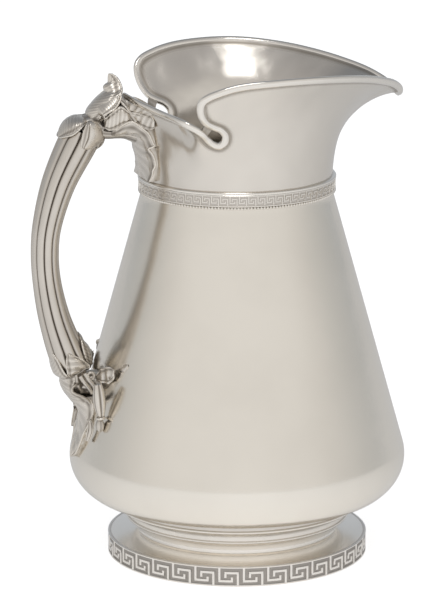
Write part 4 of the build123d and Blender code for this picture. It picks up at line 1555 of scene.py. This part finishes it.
        # painted shade and tarnish, darker in the calyx's grooves
        groove = (0.5 + 0.5 * np.cos(5 * q)) ** 4
        calyx.verts[:, :2] *= (1 - 0.22 * groove)[:, None]
        calyx.shade_and_tarnish = 0.05 + 0.95 * groove
        turn = Matrix.Rotation(math.radians(self.drop_lean), 3, "Y")
        self.pair("bud_calyx", calyx.moved(turn, (x, y, 74.2)), "drop_calyx")
        ring = lathe(arc_points((1.5, 0), 0.75, 0, 324, 10), 32, [0.02] * 10)
        self.pair("bud_ring", ring.moved(turn, (x - 0.2, y, 73.5)), "drop_ring")
        self.pair("bud", ball((x - 0.5, y, 70.0), (2.0, 2.0, 3.1), 4), "drop_bud")


@dataclass
class Studio:
    """Floor, light and camera."""

    eye: tuple[float, float, float] = (-0.4571, -1.4953, 0.4956)
    pitch: float = 13.65
    heading: float = 17.0
    lens: float = 206.65
    shift: float = -0.0271
    aim: tuple[float, float, float] = (0.0, 0.0, 0.11)
    lamp_place: tuple[float, float, float] = (-0.23, -0.76, 1.38)
    lamp_size: tuple[float, float] = (0.55, 0.42)
    lamp_power: float = 2.4
    floor_half: float = 6.0
    floor_glow: float = 0.72
    # how much the floor glows in reflections, behind and in front: painted light
    reflected_floor_glow: tuple[float, float] = (0.15, 0.5)

    def build(self) -> None:
        """Makes the stage and the camera."""
        self.build_floor()
        self.build_world()
        self.lamp("front_top_light", self.lamp_place, self.lamp_size, self.lamp_power)
        cam = bpy.data.cameras.new("camera")
        cam.lens, cam.sensor_width, cam.shift_x = self.lens, 36.0, self.shift
        obj = bpy.data.objects.new("camera", cam)
        a, e = math.radians(self.heading), math.radians(self.pitch)
        look = Vector((math.sin(a) * math.cos(e), math.cos(a) * math.cos(e), -math.sin(e)))
        obj.location = self.eye
        obj.rotation_mode = "QUATERNION"
        obj.rotation_quaternion = look.to_track_quat("-Z", "Y")
        bpy.context.scene.collection.objects.link(obj)
        bpy.context.scene.camera = obj
        bpy.context.scene.view_settings.view_transform = "Standard"

    def build_floor(self) -> None:
        """Makes the pale floor, which keeps the pitcher's soft shadow, glows evenly to the camera and glows
        in the silver's reflections as painted light, more on the camera's side.
        """
        mesh = bpy.data.meshes.new("floor")
        s = self.floor_half
        mesh.from_pydata([(-s, -s, 0), (s, -s, 0), (s, s, 0), (-s, s, 0)], [], [(0, 1, 2, 3)])
        obj = bpy.data.objects.new("floor", mesh)
        bpy.context.scene.collection.objects.link(obj)
        mat = bpy.data.materials.new("pale floor")
        mat.use_nodes = True
        n, l = mat.node_tree.nodes, mat.node_tree.links
        bsdf, out = n["Principled BSDF"], n["Material Output"]
        bsdf.inputs["Base Color"].default_value = (0.80, 0.80, 0.80, 1)
        bsdf.inputs["Roughness"].default_value = 0.9
        bsdf.inputs["Specular IOR Level"].default_value = 0.0
        glow, path, front = n.new("ShaderNodeEmission"), n.new("ShaderNodeLightPath"), self.front_share(n, l)
        shown, reflected_glow, both = (n.new("ShaderNodeMath") for _ in range(3))
        shown.operation = reflected_glow.operation = "MULTIPLY"
        shown.inputs[1].default_value = self.floor_glow
        band = n.new("ShaderNodeMapRange")
        band.inputs["From Min"].default_value, band.inputs["From Max"].default_value = 0.0, 1.0
        band.inputs["To Min"].default_value, band.inputs["To Max"].default_value = self.reflected_floor_glow
        add = n.new("ShaderNodeAddShader")
        l.new(front, band.inputs["Value"])
        l.new(path.outputs["Is Camera Ray"], shown.inputs[0])
        # painted light: the floor glows in the silver's reflections, more on the camera's side than behind
        l.new(path.outputs["Is Glossy Ray"], reflected_glow.inputs[0])
        l.new(band.outputs[0], reflected_glow.inputs[1])
        l.new(shown.outputs[0], both.inputs[0])
        l.new(reflected_glow.outputs[0], both.inputs[1])
        l.new(both.outputs[0], glow.inputs["Strength"])
        l.new(bsdf.outputs[0], add.inputs[0])
        l.new(glow.outputs[0], add.inputs[1])
        l.new(add.outputs[0], out.inputs["Surface"])
        mesh.materials.append(mat)

    def front_share(self, n: bpy.types.Nodes, l: bpy.types.NodeLinks) -> bpy.types.NodeSocket:
        """Nodes that tell how far a direction, or a place on the floor, is on the camera's side.

        Args:
            n: nodes of the tree.
            l: its links.

        Returns:
            Socket with 0 behind the pitcher and 1 in front of it.
        """
        a = math.radians(self.heading)
        c, flat, unit_v, dot = (n.new("ShaderNodeTexCoord"), n.new("ShaderNodeMapping"),
                                n.new("ShaderNodeVectorMath"), n.new("ShaderNodeVectorMath"))
        flat.inputs["Scale"].default_value = (1, 1, 0)
        unit_v.operation, dot.operation = "NORMALIZE", "DOT_PRODUCT"
        dot.inputs[1].default_value = (-math.sin(a), -math.cos(a), 0)
        share = n.new("ShaderNodeMapRange")
        share.inputs["From Min"].default_value = -1.0
        l.new(c.outputs["Object"], flat.inputs["Vector"])
        l.new(flat.outputs[0], unit_v.inputs[0])
        l.new(unit_v.outputs[0], dot.inputs[0])
        l.new(dot.outputs["Value"], share.inputs["Value"])
        return share.outputs[0]

    @staticmethod
    def ramp(n: bpy.types.Nodes, stops: Points) -> bpy.types.Node:
        """Colour ramp of greys.

        Args:
            n: nodes of the tree.
            stops: place and colour of each stop.

        Returns:
            The ramp.
        """
        ramp = n.new("ShaderNodeValToRGB")
        while len(ramp.color_ramp.elements) < len(stops):
            ramp.color_ramp.elements.new(0.5)
        for e, (at, *color) in zip(ramp.color_ramp.elements, stops):
            e.position, e.color = at, (*color, 1)
        return ramp

    def build_world(self) -> None:
        """Makes the room that the silver reflects: pale in front, grey to the sides and above."""
        world = bpy.data.worlds.new("studio")
        world.use_nodes = True
        bpy.context.scene.world = world
        n, l = world.node_tree.nodes, world.node_tree.links
        back = n["Background"]
        front = self.front_share(n, l)
        around = self.ramp(n, (
            (0.0, 0.50, 0.53, 0.57), (0.08, 0.42, 0.44, 0.47), (0.25, 0.50, 0.51, 0.52),
            (0.45, 0.58, 0.58, 0.58), (0.65, 0.70, 0.69, 0.68), (0.8, 0.79, 0.78, 0.77),
            (1.0, 0.83, 0.82, 0.81)))
        c, split = n.new("ShaderNodeTexCoord"), n.new("ShaderNodeSeparateXYZ")
        up = self.ramp(n, ((0.0, 1.0, 1.0, 1.0), (0.32, 1.0, 1.0, 1.0), (0.5, 0.86, 0.86, 0.86),
                           (0.7, 0.62, 0.62, 0.63), (1.0, 0.55, 0.56, 0.58)))
        l.new(front, around.inputs[0])
        l.new(c.outputs["Object"], split.inputs[0])
        l.new(split.outputs["Z"], up.inputs[0])
        room, shown = n.new("ShaderNodeMix"), n.new("ShaderNodeMix")
        room.data_type = shown.data_type = "RGBA"
        room.blend_type = "MULTIPLY"
        room.inputs[0].default_value = 1.0
        path = n.new("ShaderNodeLightPath")
        shown.inputs[COLOR_B].default_value = (1, 1, 1, 1)
        l.new(around.outputs[0], room.inputs[COLOR_A])
        l.new(up.outputs[0], room.inputs[COLOR_B])
        l.new(path.outputs["Is Camera Ray"], shown.inputs[0])
        l.new(room.outputs[COLOR_OUT], shown.inputs[COLOR_A])
        l.new(shown.outputs[COLOR_OUT], back.inputs["Color"])

    def lamp(self, name: str, place: tuple[float, float, float], size: tuple[float, float],
             power: float) -> None:
        """Soft light that points at the pitcher.

        Args:
            name: its name.
            place: its place, m.
            size: its two sides, m.
            power: watts.
        """
        data = bpy.data.lights.new(name, "AREA")
        data.shape = "RECTANGLE"
        data.size, data.size_y, data.energy = *size, power
        obj = bpy.data.objects.new(name, data)
        obj.location = place
        way = Vector(self.aim) - Vector(place)
        obj.rotation_mode = "QUATERNION"
        obj.rotation_quaternion = way.to_track_quat("-Z", "Y")
        bpy.context.scene.collection.objects.link(obj)


def main() -> None:
    """Builds the pitcher and the studio."""
    logging.basicConfig(level=logging.INFO, format="%(name)s %(message)s")
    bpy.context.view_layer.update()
    for part in (Foot(), Body(), Collar(), Neck(), Grip(), UpperMount(), LowerMount(), Studio()):
        part.build()


if __name__ == "__main__":
    main()
